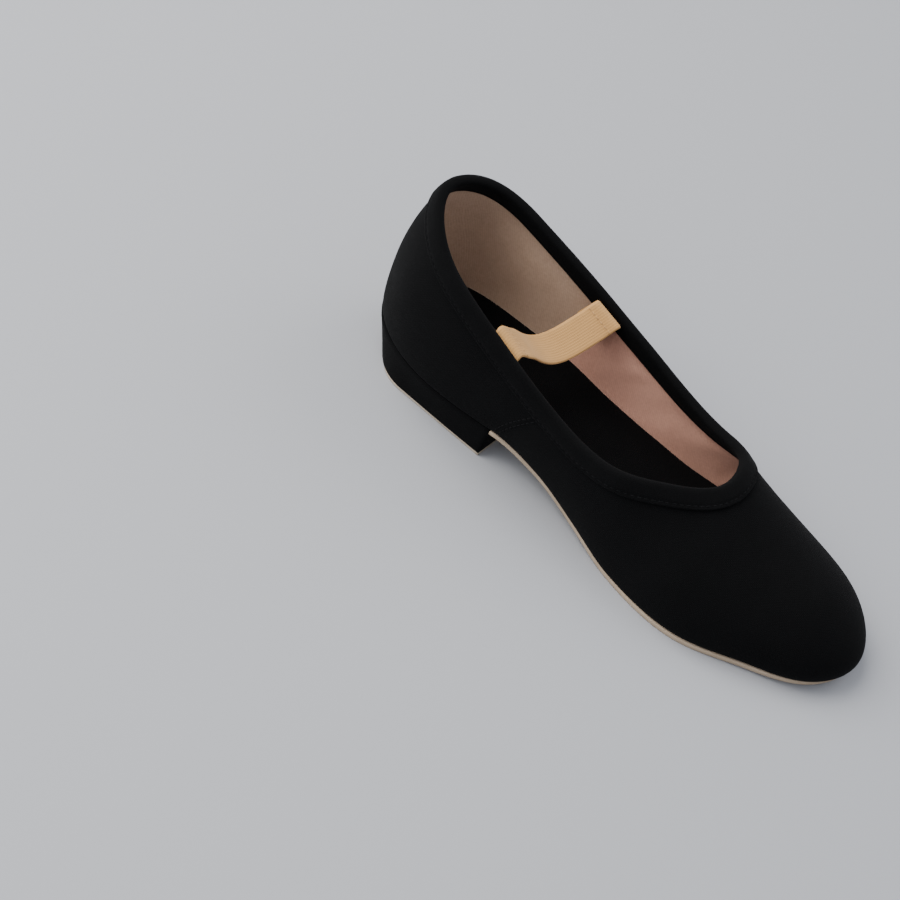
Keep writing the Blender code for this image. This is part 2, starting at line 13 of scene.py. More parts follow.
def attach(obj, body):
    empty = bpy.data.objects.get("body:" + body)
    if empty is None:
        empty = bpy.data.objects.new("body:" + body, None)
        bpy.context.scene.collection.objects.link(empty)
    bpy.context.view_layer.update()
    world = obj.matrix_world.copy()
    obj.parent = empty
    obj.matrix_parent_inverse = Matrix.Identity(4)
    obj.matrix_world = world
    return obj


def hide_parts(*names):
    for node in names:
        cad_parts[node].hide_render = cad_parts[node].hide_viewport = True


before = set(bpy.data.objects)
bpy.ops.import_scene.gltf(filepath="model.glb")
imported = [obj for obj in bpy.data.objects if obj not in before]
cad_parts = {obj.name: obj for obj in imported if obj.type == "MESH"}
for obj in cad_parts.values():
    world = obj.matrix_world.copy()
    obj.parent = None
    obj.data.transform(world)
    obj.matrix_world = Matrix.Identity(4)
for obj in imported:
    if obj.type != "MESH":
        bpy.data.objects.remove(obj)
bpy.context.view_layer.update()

# The shoe's own sizes, in metres
LENGTH = 0.245
BALL_WIDTH = 0.080
INSTEP_HEIGHT = 0.059
COLLAR_HEIGHT = 0.0855
HEEL_HEIGHT = 0.0165
BREAST_SHARE = 0.3115
BREAST_TURN = math.radians(6.0)
THROAT_SHARE = 0.671
WALL = 0.0018
GAP = 0.0003
SOLE_THICKNESS = 0.0023
SOLE_EDGE = 0.0008
TOP_PIECE = 0.0013
TOP_INSET = 0.0003
HEEL_EDGE = 0.0005
HEEL_BACK_SLOPE = 0.0116
HEEL_LEAN = 0.0003
HEEL_CORNER = 0.022
TOE_SPRING = 0.004
MARGIN_WIDTH = 0.010
MARGIN_THICKNESS = 0.0015
INSOLE_THICKNESS = 0.0016
INSOLE_CLEARANCE = 0.0005
BINDING_WIDTH = 0.0075
BINDING_INSIDE = 0.0066
BINDING_THICKNESS = 0.0008
BINDING_GAP = 0.00055
STRAP_WIDTH = 0.0148
STRAP_THICKNESS = 0.0012
STRAP_TAB = 0.0150
STRAP_LIFT = 0.0012
TAB_CLEARANCE = 0.0001
TAB_FOLD = 0.0006
SIDE_BLEND = 0.020
TOE_BLEND = 0.012
ORIGIN = np.array([0.12172, -0.00264, 0.0])

# Feather line from above: share of the length, half widths in shares of the ball width
PLAN = (
    # share, outer, inner
    (0.050, 0.230, 0.290),
    (0.170, 0.365, 0.380),
    (0.400, 0.346, 0.375),
    (0.620, 0.505, 0.470),
    (0.750, 0.525, 0.465),
    (0.860, 0.405, 0.400),
    (0.955, 0.275, 0.260),
)
TOE_TIP = -0.020

# Feather line from the side: share of the length, shares of the heel rise and of the toe spring
FEATHER = (
    # share, heel_rise, toe_rise
    (0.00, 1.000, 0.00),
    (0.30, 1.010, 0.00),
    (0.40, 0.690, 0.00),
    (0.50, 0.290, 0.00),
    (0.60, 0.000, 0.00),
    (0.75, 0.000, 0.00),
    (0.86, 0.000, 0.25),
    (1.00, 0.000, 1.00),
)

# Line of the instep: share of the length, share of the instep height, of the step to the collar,
# and of the ball width to the inner side
INSTEP = (
    # share, instep, step, inward
    (0.13, 1.000, 1.760, 0.00),
    (0.34, 1.000, 1.450, 0.00),
    (0.50, 1.000, 0.645, 0.00),
    (0.60, 0.985, 0.000, 0.04),
    (0.75, 0.672, 0.000, 0.02),
    (0.89, 0.540, 0.000, 0.00),
)
TOE_SLOPE = -0.28

# Swell of each side past a quarter curve, in shares of the ball width, and fullness of the curve
SWELL = (
    # share, outer, inner, fullness
    (0.00, 0.0540, 0.0540, 2.36),
    (0.15, 0.0540, 0.0540, 2.40),
    (0.40, 0.0950, 0.0900, 2.35),
    (0.64, 0.0310, 0.0050, 2.00),
    (0.90, 0.0300, 0.0250, 2.00),
    (1.00, 0.0300, 0.0300, 2.00),
)

# Collar from the side: share of the length, shares of the step from the throat to the back
COLLAR = (
    # share, outer, inner
    (0.00, 1.000, 1.000),
    (0.10, 0.730, 0.730),
    (0.25, 0.370, 0.370),
    (0.40, 0.000, -0.015),
    (0.50, -0.070, -0.240),
    (0.58, -0.010, -0.300),
    (0.635, 0.010, -0.190),
)

# How far the sole stands out past the feather line: share of the length, shares of the sole edge
SOLE_REACH = (
    # share, outer, inner
    (0.30, 0.50, 0.50),
    (0.45, -0.50, -0.50),
    (0.55, -0.30, -0.30),
    (0.64, 0.40, 0.40),
    (0.75, 1.00, 1.00),
    (0.86, 0.90, 0.90),
    (0.95, 0.20, 0.20),
    (1.00, -0.30, -0.30),
)

# Heel at the floor: half widths at the back and at the front, in shares of the ball width
HEEL_FLOOR = {-1: (0.3375, 0.365), 1: (0.3525, 0.370)}
HEEL_TURN = 1.6

# Slack strap: share of the way across, drop below the line of its ends in shares of the span
STRAP_SAG = (
    # across, drop
    (0.00, 0.000),
    (0.10, 0.030),
    (0.30, 0.155),
    (0.52, 0.225),
    (0.76, 0.145),
    (1.00, 0.000),
)
STRAP_OUTER_SHARE = 0.260
STRAP_INNER_SHARE = 0.332
STRAP_TAB_ROWS = (1.0, 0.73, 0.47, 0.23, 0.05)

# Soft creases and swells of the cloth: place round the feather line, share of the way up to the rim,
# half length round and up, lean of the crease, and its height out of the cloth
CREASES = (
    # t, up, half_round, half_up, lean, height
    (2.72, 0.62, 0.10, 0.34, 0.35, -0.0007),
    (2.95, 0.55, 0.11, 0.36, 0.30, 0.0006),
    (3.20, 0.50, 0.12, 0.34, 0.25, -0.0005),
    (3.55, 0.35, 0.20, 0.22, -0.20, 0.0004),
    (4.10, 0.30, 0.25, 0.16, -0.15, -0.0004),
    (1.20, 0.55, 0.30, 0.20, 0.10, 0.0005),
    (0.60, 0.30, 0.35, 0.14, 0.00, -0.0004),
    (13.22, 0.60, 0.10, 0.34, -0.35, -0.0006),
    (13.00, 0.52, 0.12, 0.34, -0.30, 0.0005),
    (12.70, 0.48, 0.12, 0.32, -0.25, -0.0004),
    (14.90, 0.55, 0.30, 0.20, 0.00, 0.0004),
    (15.60, 0.35, 0.30, 0.16, 0.00, -0.0003),
    (5.20, 0.55, 0.50, 0.20, 0.05, 0.0003),
    (11.00, 0.60, 0.50, 0.20, -0.05, 0.0003),
)

# Soft folds of the lining, in the same columns, with the height into the shoe
LINING_FOLDS = (
    # t, up, half_round, half_up, lean, height
    (12.95, 0.55, 0.10, 0.40, -0.50, 0.0006),
    (12.60, 0.45, 0.12, 0.35, -0.40, -0.0004),
    (12.20, 0.50, 0.16, 0.30, -0.60, 0.0005),
    (11.75, 0.40, 0.14, 0.30, -0.50, -0.0004),
    (14.00, 0.50, 0.25, 0.30, 0.20, 0.0004),
    (14.80, 0.40, 0.25, 0.30, 0.20, -0.0004),
    (3.00, 0.50, 0.12, 0.35, 0.40, 0.0004),
    (1.80, 0.45, 0.25, 0.30, 0.20, 0.0004),
)

# Tape from its lower edge to the fold: share of the width down from the rim, share of its thickness
TAPE_PROFILE = (
    # depth, thickness
    (1.00, 0.55),
    (0.97, 0.86),
    (0.88, 1.00),
    (0.80, 0.62),
    (0.72, 1.02),
    (0.55, 1.18),
    (0.36, 1.20),
    (0.18, 1.12),
    (0.06, 1.04),
)
TAPE_FOLD_ANGLES = (30, 60, 90, 120, 150)
TAPE_FOLD_RISE = 1.05
TAPE_WAVY_FROM = 0.9
TAPE_UNDER_LAYOUT = (-0.006, -0.004, -0.002)

# Waves along the tape, where it puffs up between its stitches
TAPE_WAVES = (
    # share of the thickness, pace, shift
    (0.10, 260, 0.0),
    (0.06, 611, 1.3),
)

# Sole edge from top to bottom: share of the way out, share of the thickness down
SOLE_PROFILE = (
    # out, down
    (0.00, 0.00),
    (0.75, 0.06),
    (1.00, 0.22),
    (1.00, 0.72),
    (0.70, 0.93),
    (0.00, 1.00),
)
SOLE_ROUNDING = 0.0005

# Covered heel: share of the way from the seat to the floor, and how far it stands out
HEEL_PROFILE = (
    # down, out
    (0.00, -0.0009),
    (0.02, -0.0003),
    (0.06, 0.0),
    (0.12, 0.0001),
    (0.25, 0.0),
    (0.42, 0.0),
    (0.60, 0.0),
    (0.78, 0.0),
    (0.95, 0.0),
    (0.99, -0.0001),
    (1.00, -0.0005),
)
HEEL_SQUARENESS = 0.85

# Top piece of the heel: share of the way down the heel, how far it stands out, share of its height
TOP_PIECE_PROFILE = (
    # down, out, height
    (0.930, -0.0002, 1.00),
    (0.935, 0.0, 0.86),
    (0.970, 0.0, 0.50),
    (0.990, -0.0001, 0.14),
    (1.000, -0.0004, 0.00),
)
TOP_PIECE_TUCK = 0.0009
TOP_PIECE_BACK = 0.012

# Side seam and change of lining: share of the length at the foot, and how far the top lies ahead
SEAM_SHARE = 0.296
SEAM_RAKE = 0.076
LINING_SHARE = 0.300
LINING_RAKE = 0.045

# Lapped side seam: softness of its edge, its height, its groove, and where the lap fades out
SEAM_SOFTNESS = 0.0011
SEAM_STEP = 0.00055
SEAM_GROOVE = 0.00025
SEAM_LAP = 0.013
SEAM_FADE = 0.0035
SEAM_CRISPNESS = 2.2
SEAM_GROOVE_CRISPNESS = 1.3

# Its stitches: how far ahead each row lies, lift, where on the side it runs, and how it climbs
SEAM_ROWS = (0.0022, 0.0042)
SEAM_LIFT = 0.00062
SEAM_SEARCH = (2.0, 3.2)
SEAM_RISE = (0.05, 0.86)
SEAM_CLIMB = 0.9

# Share of the way up where the cloth's creases begin, and how they die out under the rim and the ridge
RELIEF_FROM = 0.06
RIM_RELIEF = 0.3
RIDGE_RELIEF = (0.7, 0.35, 0.0)

# Folds of the lining end at these shares of the way up, over these steps
FOLDS_TOP, FOLDS_TOP_STEP = 0.75, 0.15
FOLDS_FOOT, FOLDS_FOOT_STEP = 0.05, 0.1

# Stitches, in metres
TAPE_STITCH = {"length": 0.0020, "radius": 0.00022, "pitch": 0.0028}
SEAM_STITCH = {"length": 0.0019, "radius": 0.0002, "pitch": 0.0027}
STRAP_STITCH = {"length": 0.0018, "radius": 0.00022}
STITCH_PROFILE = (
    # along, thickness
    (-0.50, 0.35),
    (-0.42, 0.80),
    (0.00, 1.00),
    (0.42, 0.80),
    (0.50, 0.35),
)
STITCH_ARCH = 0.35
TAPE_STITCH_DEPTH = 0.80
TAPE_STITCH_LIFT = 0.66
STRAP_STITCHES_ACROSS = 6
STRAP_STITCH_REACH = 0.42
STRAP_STITCH_LIFT = 0.48
STRAP_STITCH_TAB = 0.35
STRAP_STITCH_PAST_FOLD = 0.0052

# Strap: columns across, ribs of its weave, and their share of the thickness
STRAP_COLUMNS = 24
STRAP_RIBS = 12
STRAP_RIB_SHARE = 0.06
STRAP_STEP = 0.0008

TOE = len(PLAN) + 1
ROUND = 2 * TOE
HEEL_ANCHOR = INSTEP[0][0] * LENGTH
TOE_ANCHOR = INSTEP[-1][0] * LENGTH
SWELL_LEAN = 0.63

# Ribs: where their even spacing ends behind the throat, shares of the way back from the throat to there,
# their pitch, and the lowest share at which the rim is looked for
BEFORE_THROAT = 3.9
THROAT_STEPS = (0.72, 0.48, 0.28, 0.12, 0.03)
RIB_PITCH = 0.25
LOWEST_RIM = 0.2

# Small steps that measure directions on the form, and the search for a place on it
PROBE = 0.01
NEAR_FOOT = 0.015
NEAR_TOP = 0.985
NUDGE = 1e-3
WALK_ROUNDS = 14
RIM_PROBE = 0.02
LONGEST_T, LONGEST_S, LOWEST_S = 0.25, 0.12, 0.02


def smooth(xs, ys, x):
    """Natural cubic spline through a short table."""
    xs, ys = np.asarray(xs, float), np.asarray(ys, float)
    count = len(xs)
    step = np.diff(xs)
    matrix, right = np.eye(count), np.zeros(count)
    for i in range(1, count - 1):
        matrix[i, i - 1:i + 2] = step[i - 1], 2 * (step[i - 1] + step[i]), step[i]
        right[i] = 6 * ((ys[i + 1] - ys[i]) / step[i] - (ys[i] - ys[i - 1]) / step[i - 1])
    bend = np.linalg.solve(matrix, right)
    x = np.clip(x, xs[0], xs[-1])
    i = np.clip(np.searchsorted(xs, x, side="right") - 1, 0, count - 2)
    a, b = (xs[i + 1] - x) / step[i], (x - xs[i]) / step[i]
    return a * ys[i] + b * ys[i + 1] + ((a**3 - a) * bend[i] + (b**3 - b) * bend[i + 1]) * step[i]**2 / 6


def steady(xs, ys, x):
    """Cubic spline through a short table that never overshoots its rows."""
    xs, ys = np.asarray(xs, float), np.asarray(ys, float)
    step, rise = np.diff(xs), np.diff(ys) / np.diff(xs)
    slope = np.zeros(len(xs))
    for i in range(1, len(xs) - 1):
        if rise[i - 1] * rise[i] > 0:
            before, after = 2 * step[i] + step[i - 1], step[i] + 2 * step[i - 1]
            slope[i] = (before + after) / (before / rise[i - 1] + after / rise[i])
    slope[0], slope[-1] = rise[0], rise[-1]
    x = np.clip(x, xs[0], xs[-1])
    i = np.clip(np.searchsorted(xs, x, side="right") - 1, 0, len(xs) - 2)
    h = step[i]
    s = (x - xs[i]) / h
    return ((2 * s**3 - 3 * s**2 + 1) * ys[i] + (s**3 - 2 * s**2 + s) * h * slope[i]
            + (-2 * s**3 + 3 * s**2) * ys[i + 1] + (s**3 - s**2) * h * slope[i + 1])


def column(table, index, scale=1.0):
    return [row[index] * scale for row in table]


def unit(values):
    return values / np.linalg.norm(values, axis=1)[:, None]


def run_length(points):
    """Distance along a line of points, from its first point to each one."""
    return np.concatenate([[0], np.cumsum(np.linalg.norm(np.diff(points, axis=0), axis=1))])


def distinct(vertices):
    """Vertices in their order, each once."""
    return list(dict.fromkeys(vertices))


# Form of the upper


def plan_points():
    """Corners of the feather line: heel, outer side, toe tip, inner side."""
    outer = [(row[0] * LENGTH, -row[1] * BALL_WIDTH) for row in PLAN]
    inner = [(row[0] * LENGTH, row[2] * BALL_WIDTH) for row in reversed(PLAN)]
    return np.array([(0.0, 0.0)] + outer + [(LENGTH, TOE_TIP * BALL_WIDTH)] + inner)


def closed_bend(points):
    """Second derivatives of the closed cubic spline through the points, spaced by chord length."""
    count = len(points)
    chord = np.linalg.norm(np.roll(points, -1, 0) - points, axis=1)
    matrix, right = np.zeros((count, count)), np.zeros((count, 2))
    for i in range(count):
        before, after, following = chord[i - 1], chord[i], (i + 1) % count
        matrix[i, i - 1] += before
        matrix[i, i] += 2 * (before + after)
        matrix[i, following] += after
        right[i] = 6 * ((points[following] - points[i]) / after - (points[i] - points[i - 1]) / before)
    return chord, np.linalg.solve(matrix, right)


PLAN_POINTS = plan_points()
CHORD, PLAN_BEND = closed_bend(PLAN_POINTS)


def plan(t):
    """Feather line from above at t, 0 to ROUND: heel 0, outer side, toe TOE, inner side."""
    t = np.atleast_1d(np.asarray(t, float)) % ROUND
    i = np.floor(t).astype(int) % ROUND
    j = (i + 1) % ROUND
    b = (t - np.floor(t))[:, None]
    a = 1 - b
    return (a * PLAN_POINTS[i] + b * PLAN_POINTS[j]
            + ((a**3 - a) * PLAN_BEND[i] + (b**3 - b) * PLAN_BEND[j]) * CHORD[i][:, None]**2 / 6)


def outward(t):
    """Unit direction away from the feather line, seen from above."""
    run = unit(plan(np.asarray(t) + PROBE) - plan(np.asarray(t) - PROBE))
    return np.stack([run[:, 1], -run[:, 0]], 1)


def feather_height(x):
    base = SOLE_THICKNESS + GAP
    rise = HEEL_HEIGHT - base
    heights = [base + row[1] * rise + row[2] * TOE_SPRING for row in FEATHER]
    return steady(column(FEATHER, 0, LENGTH), heights, x)


def instep_height(x):
    heights = [row[1] * INSTEP_HEIGHT + row[2] * (COLLAR_HEIGHT - INSTEP_HEIGHT) for row in INSTEP]
    return steady(column(INSTEP, 0, LENGTH), heights, x)


def instep_side(x):
    return steady(column(INSTEP, 0, LENGTH), column(INSTEP, 3, BALL_WIDTH), x)


def collar_height(x, side):
    """Height of the collar on the outer side, column 1, or the inner side, column 2."""
    throat = THROAT_SHARE * LENGTH
    low = float(instep_height(throat))
    heights = [low + row[side] * (COLLAR_HEIGHT - low) for row in COLLAR]
    return smooth(column(COLLAR, 0, LENGTH) + [throat], heights + [low], x)


def rib_top(foot, twin):
    """Where ribs meet on the instep line, easing to one place for the ribs that fan out round the toe."""
    middle = (foot[:, 0] + twin[:, 0]) / 2
    over = np.clip(middle - (TOE_ANCHOR - TOE_BLEND), 0, 2 * TOE_BLEND)
    return np.maximum(np.minimum(middle, TOE_ANCHOR + TOE_BLEND) - over**2 / (4 * TOE_BLEND), HEEL_ANCHOR)


def last_point(t, s):
    """Outer face of the upper: t round the feather line, s up the rib to the instep line."""
    t = np.atleast_1d(np.asarray(t, float))
    s = np.clip(np.broadcast_to(np.asarray(s, float), t.shape), 0.0, 1.0)
    foot, twin = plan(t), plan(ROUND - t)
    anchor_x = rib_top(foot, twin)
    anchor = np.stack([anchor_x, instep_side(anchor_x)], 1)
    reach = anchor - foot
    distance = np.linalg.norm(reach, axis=1)
    reach /= distance[:, None]
    shares = column(SWELL, 0, LENGTH)
    outer = steady(shares, column(SWELL, 1, BALL_WIDTH), foot[:, 0])
    inner = steady(shares, column(SWELL, 2, BALL_WIDTH), foot[:, 0])
    blend = np.clip(0.5 + (foot[:, 1] - anchor[:, 1]) / SIDE_BLEND, 0, 1)
    swell = outer + (inner - outer) * blend
    power = 2 / steady(shares, column(SWELL, 3), foot[:, 0])
    turn = s * math.pi / 2
    inwards = 1 - np.maximum(np.cos(turn), 0)**power
    climb = np.sin(turn)**power
    travel = distance * inwards - swell * np.sin(math.pi * s**SWELL_LEAN)
    place = foot + reach * travel[:, None]
    fan = foot[:, 0] > TOE_ANCHOR - TOE_BLEND
    top = instep_height(anchor_x) + fan * TOE_SLOPE * (place[:, 0] - anchor_x)
    base = feather_height(foot[:, 0])
    return np.column_stack([place, base + (top - base) * climb])


def last_normal(t, s):
    """Unit direction out of the upper's outer face."""
    t = np.atleast_1d(np.asarray(t, float))
    s = np.broadcast_to(np.asarray(s, float), t.shape)
    low, high = np.clip(s - PROBE, 0.0, NEAR_TOP), np.clip(s + PROBE, NEAR_FOOT, 1.0)
    up = last_point(t, high) - last_point(t, low)
    hold = np.minimum(s, NEAR_TOP)
    along = last_point(t + PROBE, hold) - last_point(t - PROBE, hold)
    return unit(np.cross(along, up))


def throat_place():
    """t of the rib whose top is the throat of the collar."""
    t = np.linspace(4, 5, 400)
    return float(np.interp(THROAT_SHARE * LENGTH, rib_top(plan(t), plan(ROUND - t)), t))


THROAT = throat_place()


def rim_shares(times):
    """Rib share at which the collar cuts each rib, or 1 ahead of the throat."""
    times = np.atleast_1d(np.asarray(times, float)) % ROUND
    s = np.linspace(LOWEST_RIM, 1, 400)
    grid = last_point(np.repeat(times, len(s)), np.tile(s, len(times))).reshape(len(times), len(s), 3)
    found = np.ones(len(times))
    for k, t in enumerate(times):
        if min(t, ROUND - t) >= THROAT - 1e-9:
            continue
        over = grid[k, :, 2] - collar_height(grid[k, :, 0], 1 if t <= TOE else 2)
        i = int(np.argmax(over > 0))
        found[k] = s[i - 1] + (s[i] - s[i - 1]) * -over[i - 1] / (over[i] - over[i - 1])
    return found


def walk(times, shares, targets):
    """Places on the outer face closest to target points, found from starts nearby."""
    t, s = np.array(times, float), np.array(shares, float)
    for _ in range(WALK_ROUNDS):
        here = last_point(t, s)
        step_s = np.where(s > 0.5, -NUDGE, NUDGE)
        grade_t = (last_point(t + NUDGE, s) - here) / NUDGE
        grade_s = (last_point(t, s + step_s) - here) / step_s[:, None]
        error = targets - here
        a, b, c = (grade_t**2).sum(1), (grade_t * grade_s).sum(1), (grade_s**2).sum(1)
        p, q = (grade_t * error).sum(1), (grade_s * error).sum(1)
        spread = a * c - b * b + 1e-12
        t = t + np.clip((c * p - b * q) / spread, -LONGEST_T, LONGEST_T)
        s = np.clip(s + np.clip((a * q - b * p) / spread, -LONGEST_S, LONGEST_S), LOWEST_S, 1.0)
    return t, s


def stations(finer):
    """Places of the ribs along the outer side, closer near the throat and the toe."""
    behind = ((0, 1, 4), (1, 2, 4), (2, 3, 6), (3, BEFORE_THROAT, 7))
    ahead = ((THROAT, 5, 3), (5, 6, 3), (6, 7, 3), (7, TOE, 4))
    coarse = [0.0]
    for start, end, steps in behind:
        coarse += list(np.linspace(start, end, steps + 1)[1:])
    coarse += [THROAT - (THROAT - BEFORE_THROAT) * share for share in THROAT_STEPS]
    coarse.append(THROAT)
    for start, end, steps in ahead:
        coarse += list(np.linspace(start, end, steps + 1)[1:])
    places = []
    for first, second in zip(coarse, coarse[1:]):
        count = max(1, round(finer * (second - first) / RIB_PITCH))
        places += list(first + (second - first) * np.arange(count) / count)
    return places + [float(TOE)]


OUTER_SIDE = stations(8)
RIBS = np.array(OUTER_SIDE + [ROUND - t for t in reversed(OUTER_SIDE[1:-1])])
THROAT_RIB = int(np.argmin(np.abs(np.array(OUTER_SIDE) - THROAT)))
VAMP_RIBS = range(THROAT_RIB, len(RIBS) - THROAT_RIB + 1)
RIM = rim_shares(RIBS)


# Materials


def fresh_material(name, colour, roughness):
    made = bpy.data.materials.new(name)
    made.use_nodes = True
    tree = made.node_tree
    shader = tree.nodes["Principled BSDF"]
    shader.inputs["Base Color"].default_value = (*colour, 1.0)
    shader.inputs["Roughness"].default_value = roughness
    return made, tree, shader


def maths(tree, operation, first, second=None):
    made = tree.nodes.new("ShaderNodeMath")
    made.operation = operation
    for socket, value in zip(made.inputs, (first, second)):
        if value is None:
            continue
        if isinstance(value, (int, float)):
            socket.default_value = value
        else:
            tree.links.new(value, socket)
    return made.outputs[0]


def weighted(tree, *parts):
    """Sum of pairs of a value and its weight."""
    total = None
    for value, weight in parts:
        share = value if weight == 1 else maths(tree, "MULTIPLY", value, weight)
        total = share if total is None else maths(tree, "ADD", total, share)
    return total


def noise(tree, vector, scale, detail=3.0, roughness=0.6):
    made = tree.nodes.new("ShaderNodeTexNoise")
    made.inputs["Scale"].default_value = scale
    made.inputs["Detail"].default_value = detail
    made.inputs["Roughness"].default_value = roughness
    tree.links.new(vector, made.inputs["Vector"])
    return made.outputs["Fac"]


def stretch(tree, value, low, high):
    """Value moved so that low and high become 0 and 1."""
    made = tree.nodes.new("ShaderNodeMapRange")
    made.inputs["From Min"].default_value = low
    made.inputs["From Max"].default_value = high
    tree.links.new(value, made.inputs["Value"])
    return made.outputs["Result"]


def tint(tree, shader, tone, low, high):
    """Base colour between low and high as the tone runs 0 to 1."""
    made = tree.nodes.new("ShaderNodeMix")
    made.data_type = "RGBA"
    made.inputs["A"].default_value = (*low, 1.0)
    made.inputs["B"].default_value = (*high, 1.0)
    tree.links.new(tone, made.inputs["Factor"])
    tree.links.new(made.outputs["Result"], shader.inputs["Base Color"])


def flat_coordinates(tree, warp):
    """Flat layout of a piece in metres: the vector, and its wavy ways across and along."""
    layout = tree.nodes.new("ShaderNodeUVMap")
    layout.uv_map = "flat"
    parts = tree.nodes.new("ShaderNodeSeparateXYZ")
    tree.links.new(layout.outputs["UV"], parts.inputs[0])
    waves = noise(tree, layout.outputs["UV"], scale=60.0, roughness=0.55)
    drift = maths(tree, "MULTIPLY", maths(tree, "SUBTRACT", waves, 0.5), warp)
    across = maths(tree, "ADD", parts.outputs[0], drift)
    along = maths(tree, "ADD", parts.outputs[1], drift)
    return layout.outputs["UV"], across, along


def thread(tree, coordinate, pitch):
    """Wave from 0 to 1 with one crest each pitch."""
    wave = maths(tree, "SINE", maths(tree, "MULTIPLY", coordinate, 2 * math.pi / pitch))
    return maths(tree, "ADD", maths(tree, "MULTIPLY", wave, 0.5), 0.5)


def plain_weave(pitch):
    """Pattern of a plain weave: over and under threads that swap at each crossing."""
    def pattern(tree, across, along):
        turn = math.pi / pitch
        first = maths(tree, "SINE", maths(tree, "MULTIPLY", across, turn))
        second = maths(tree, "SINE", maths(tree, "MULTIPLY", along, turn))
        checks = maths(tree, "MULTIPLY", first, second)
        ribs = maths(tree, "MULTIPLY", maths(tree, "ABSOLUTE", first), maths(tree, "ABSOLUTE", second))
        return weighted(tree, (checks, 0.25), (ribs, 0.75))
    return pattern


def slanted_ribs(pitch):
    """Pattern of a twill: fine ribs on the slant, with a closer cross thread."""
    def pattern(tree, across, along):
        slant = weighted(tree, (across, 1), (along, 0.3))
        return weighted(tree, (thread(tree, slant, pitch), 1), (thread(tree, along, pitch * 0.6), 0.3))
    return pattern


def over_form(tree, pattern):
    """Pattern laid on the piece from above, the side and the end, mixed by which way its face looks."""
    layout = tree.nodes.new("ShaderNodeTexCoord")
    place, facing = tree.nodes.new("ShaderNodeSeparateXYZ"), tree.nodes.new("ShaderNodeSeparateXYZ")
    tree.links.new(layout.outputs["Object"], place.inputs[0])
    tree.links.new(layout.outputs["Normal"], facing.inputs[0])
    x, y, z = place.outputs
    weights = [maths(tree, "POWER", maths(tree, "ABSOLUTE", side), 4.0) for side in facing.outputs]
    total = weighted(tree, *((weight, 1) for weight in weights))
    laid = [maths(tree, "MULTIPLY", pattern(tree, first, second), weight)
            for (first, second), weight in zip(((y, z), (x, z), (x, y)), weights)]
    mixed = weighted(tree, *((part, 1) for part in laid))
    return layout.outputs["Object"], maths(tree, "DIVIDE", mixed, total)


def bump(tree, shader, height, strength, distance, under=None):
    """Relief of the shader, in metres, over another relief if one is given."""
    made = tree.nodes.new("ShaderNodeBump")
    made.inputs["Strength"].default_value = strength
    made.inputs["Distance"].default_value = distance
    tree.links.new(height, made.inputs["Height"])
    if under is not None:
        tree.links.new(under, made.inputs["Normal"])
    tree.links.new(made.outputs["Normal"], shader.inputs["Normal"])
    return made.outputs["Normal"]


def canvas(name, low, high, pitch=0.00062, fuzz=0.012):
    """Matt plain-weave cotton, slightly uneven in tone, with a little lint."""
    made, tree, shader = fresh_material(name, high, 0.95)
    vector, weave = over_form(tree, plain_weave(pitch))
    cloud = noise(tree, vector, scale=38.0, detail=4.0)
    grain = noise(tree, vector, scale=1500.0, detail=2.0)
    tone = weighted(tree, (cloud, 0.5), (weave, 0.35), (grain, 0.35))
    tint(tree, shader, stretch(tree, tone, 0.25, 0.95), low, high)
    rough = maths(tree, "MULTIPLY", stretch(tree, cloud, -1.2, 1.6), 0.12)
    tree.links.new(maths(tree, "ADD", rough, 0.86), shader.inputs["Roughness"])
    shader.inputs["Sheen Weight"].default_value = fuzz
    shader.inputs["Sheen Roughness"].default_value = 0.4
    shader.inputs["Specular IOR Level"].default_value = 0.07
    uneven = noise(tree, vector, scale=90.0, roughness=0.5)
    slubs = bump(tree, shader, uneven, strength=0.35, distance=0.0006)
    height = weighted(tree, (weave, 1), (grain, 0.5))
    bump(tree, shader, height, strength=0.55, distance=0.00022, under=slubs)
    return made


def twill(name, low, high, pitch=0.0009):
    """Lining twill with fine slanting ribs."""
    made, tree, shader = fresh_material(name, high, 0.9)
    vector, ribs = over_form(tree, slanted_ribs(pitch))
    cloud = noise(tree, vector, scale=45.0, detail=4.0)
    grain = noise(tree, vector, scale=900.0)
    tone = weighted(tree, (cloud, 0.55), (ribs, 0.1), (grain, 0.45))
    tint(tree, shader, stretch(tree, tone, 0.34, 0.80), low, high)
    shader.inputs["Sheen Weight"].default_value = 0.05
    shader.inputs["Sheen Roughness"].default_value = 0.5
    shader.inputs["Specular IOR Level"].default_value = 0.25
    uneven = noise(tree, vector, scale=110.0, roughness=0.5)
    slubs = bump(tree, shader, uneven, strength=0.4, distance=0.0005)
    height = weighted(tree, (ribs, 1), (grain, 0.6))
    bump(tree, shader, height, strength=0.35, distance=0.0002, under=slubs)
    return made


def elastic(name, low, high):
    """Woven elastic: fine ribs along its length and a close cross weave."""
    made, tree, shader = fresh_material(name, high, 0.7)
    vector, across, along = flat_coordinates(tree, warp=0.0001)
    ribs = thread(tree, across, pitch=0.0011)
    picks = thread(tree, along, pitch=0.00085)
    cloud = noise(tree, vector, scale=70.0)
    grain = noise(tree, vector, scale=1200.0, detail=2.0)
    tone = weighted(tree, (cloud, 0.5), (ribs, 0.25), (grain, 0.3))
    tint(tree, shader, stretch(tree, tone, 0.2, 0.9), low, high)
    shader.inputs["Sheen Weight"].default_value = 0.1
    shader.inputs["Specular IOR Level"].default_value = 0.3
    bump(tree, shader, weighted(tree, (ribs, 1), (picks, 0.45)), strength=0.3, distance=0.00018)
    return made


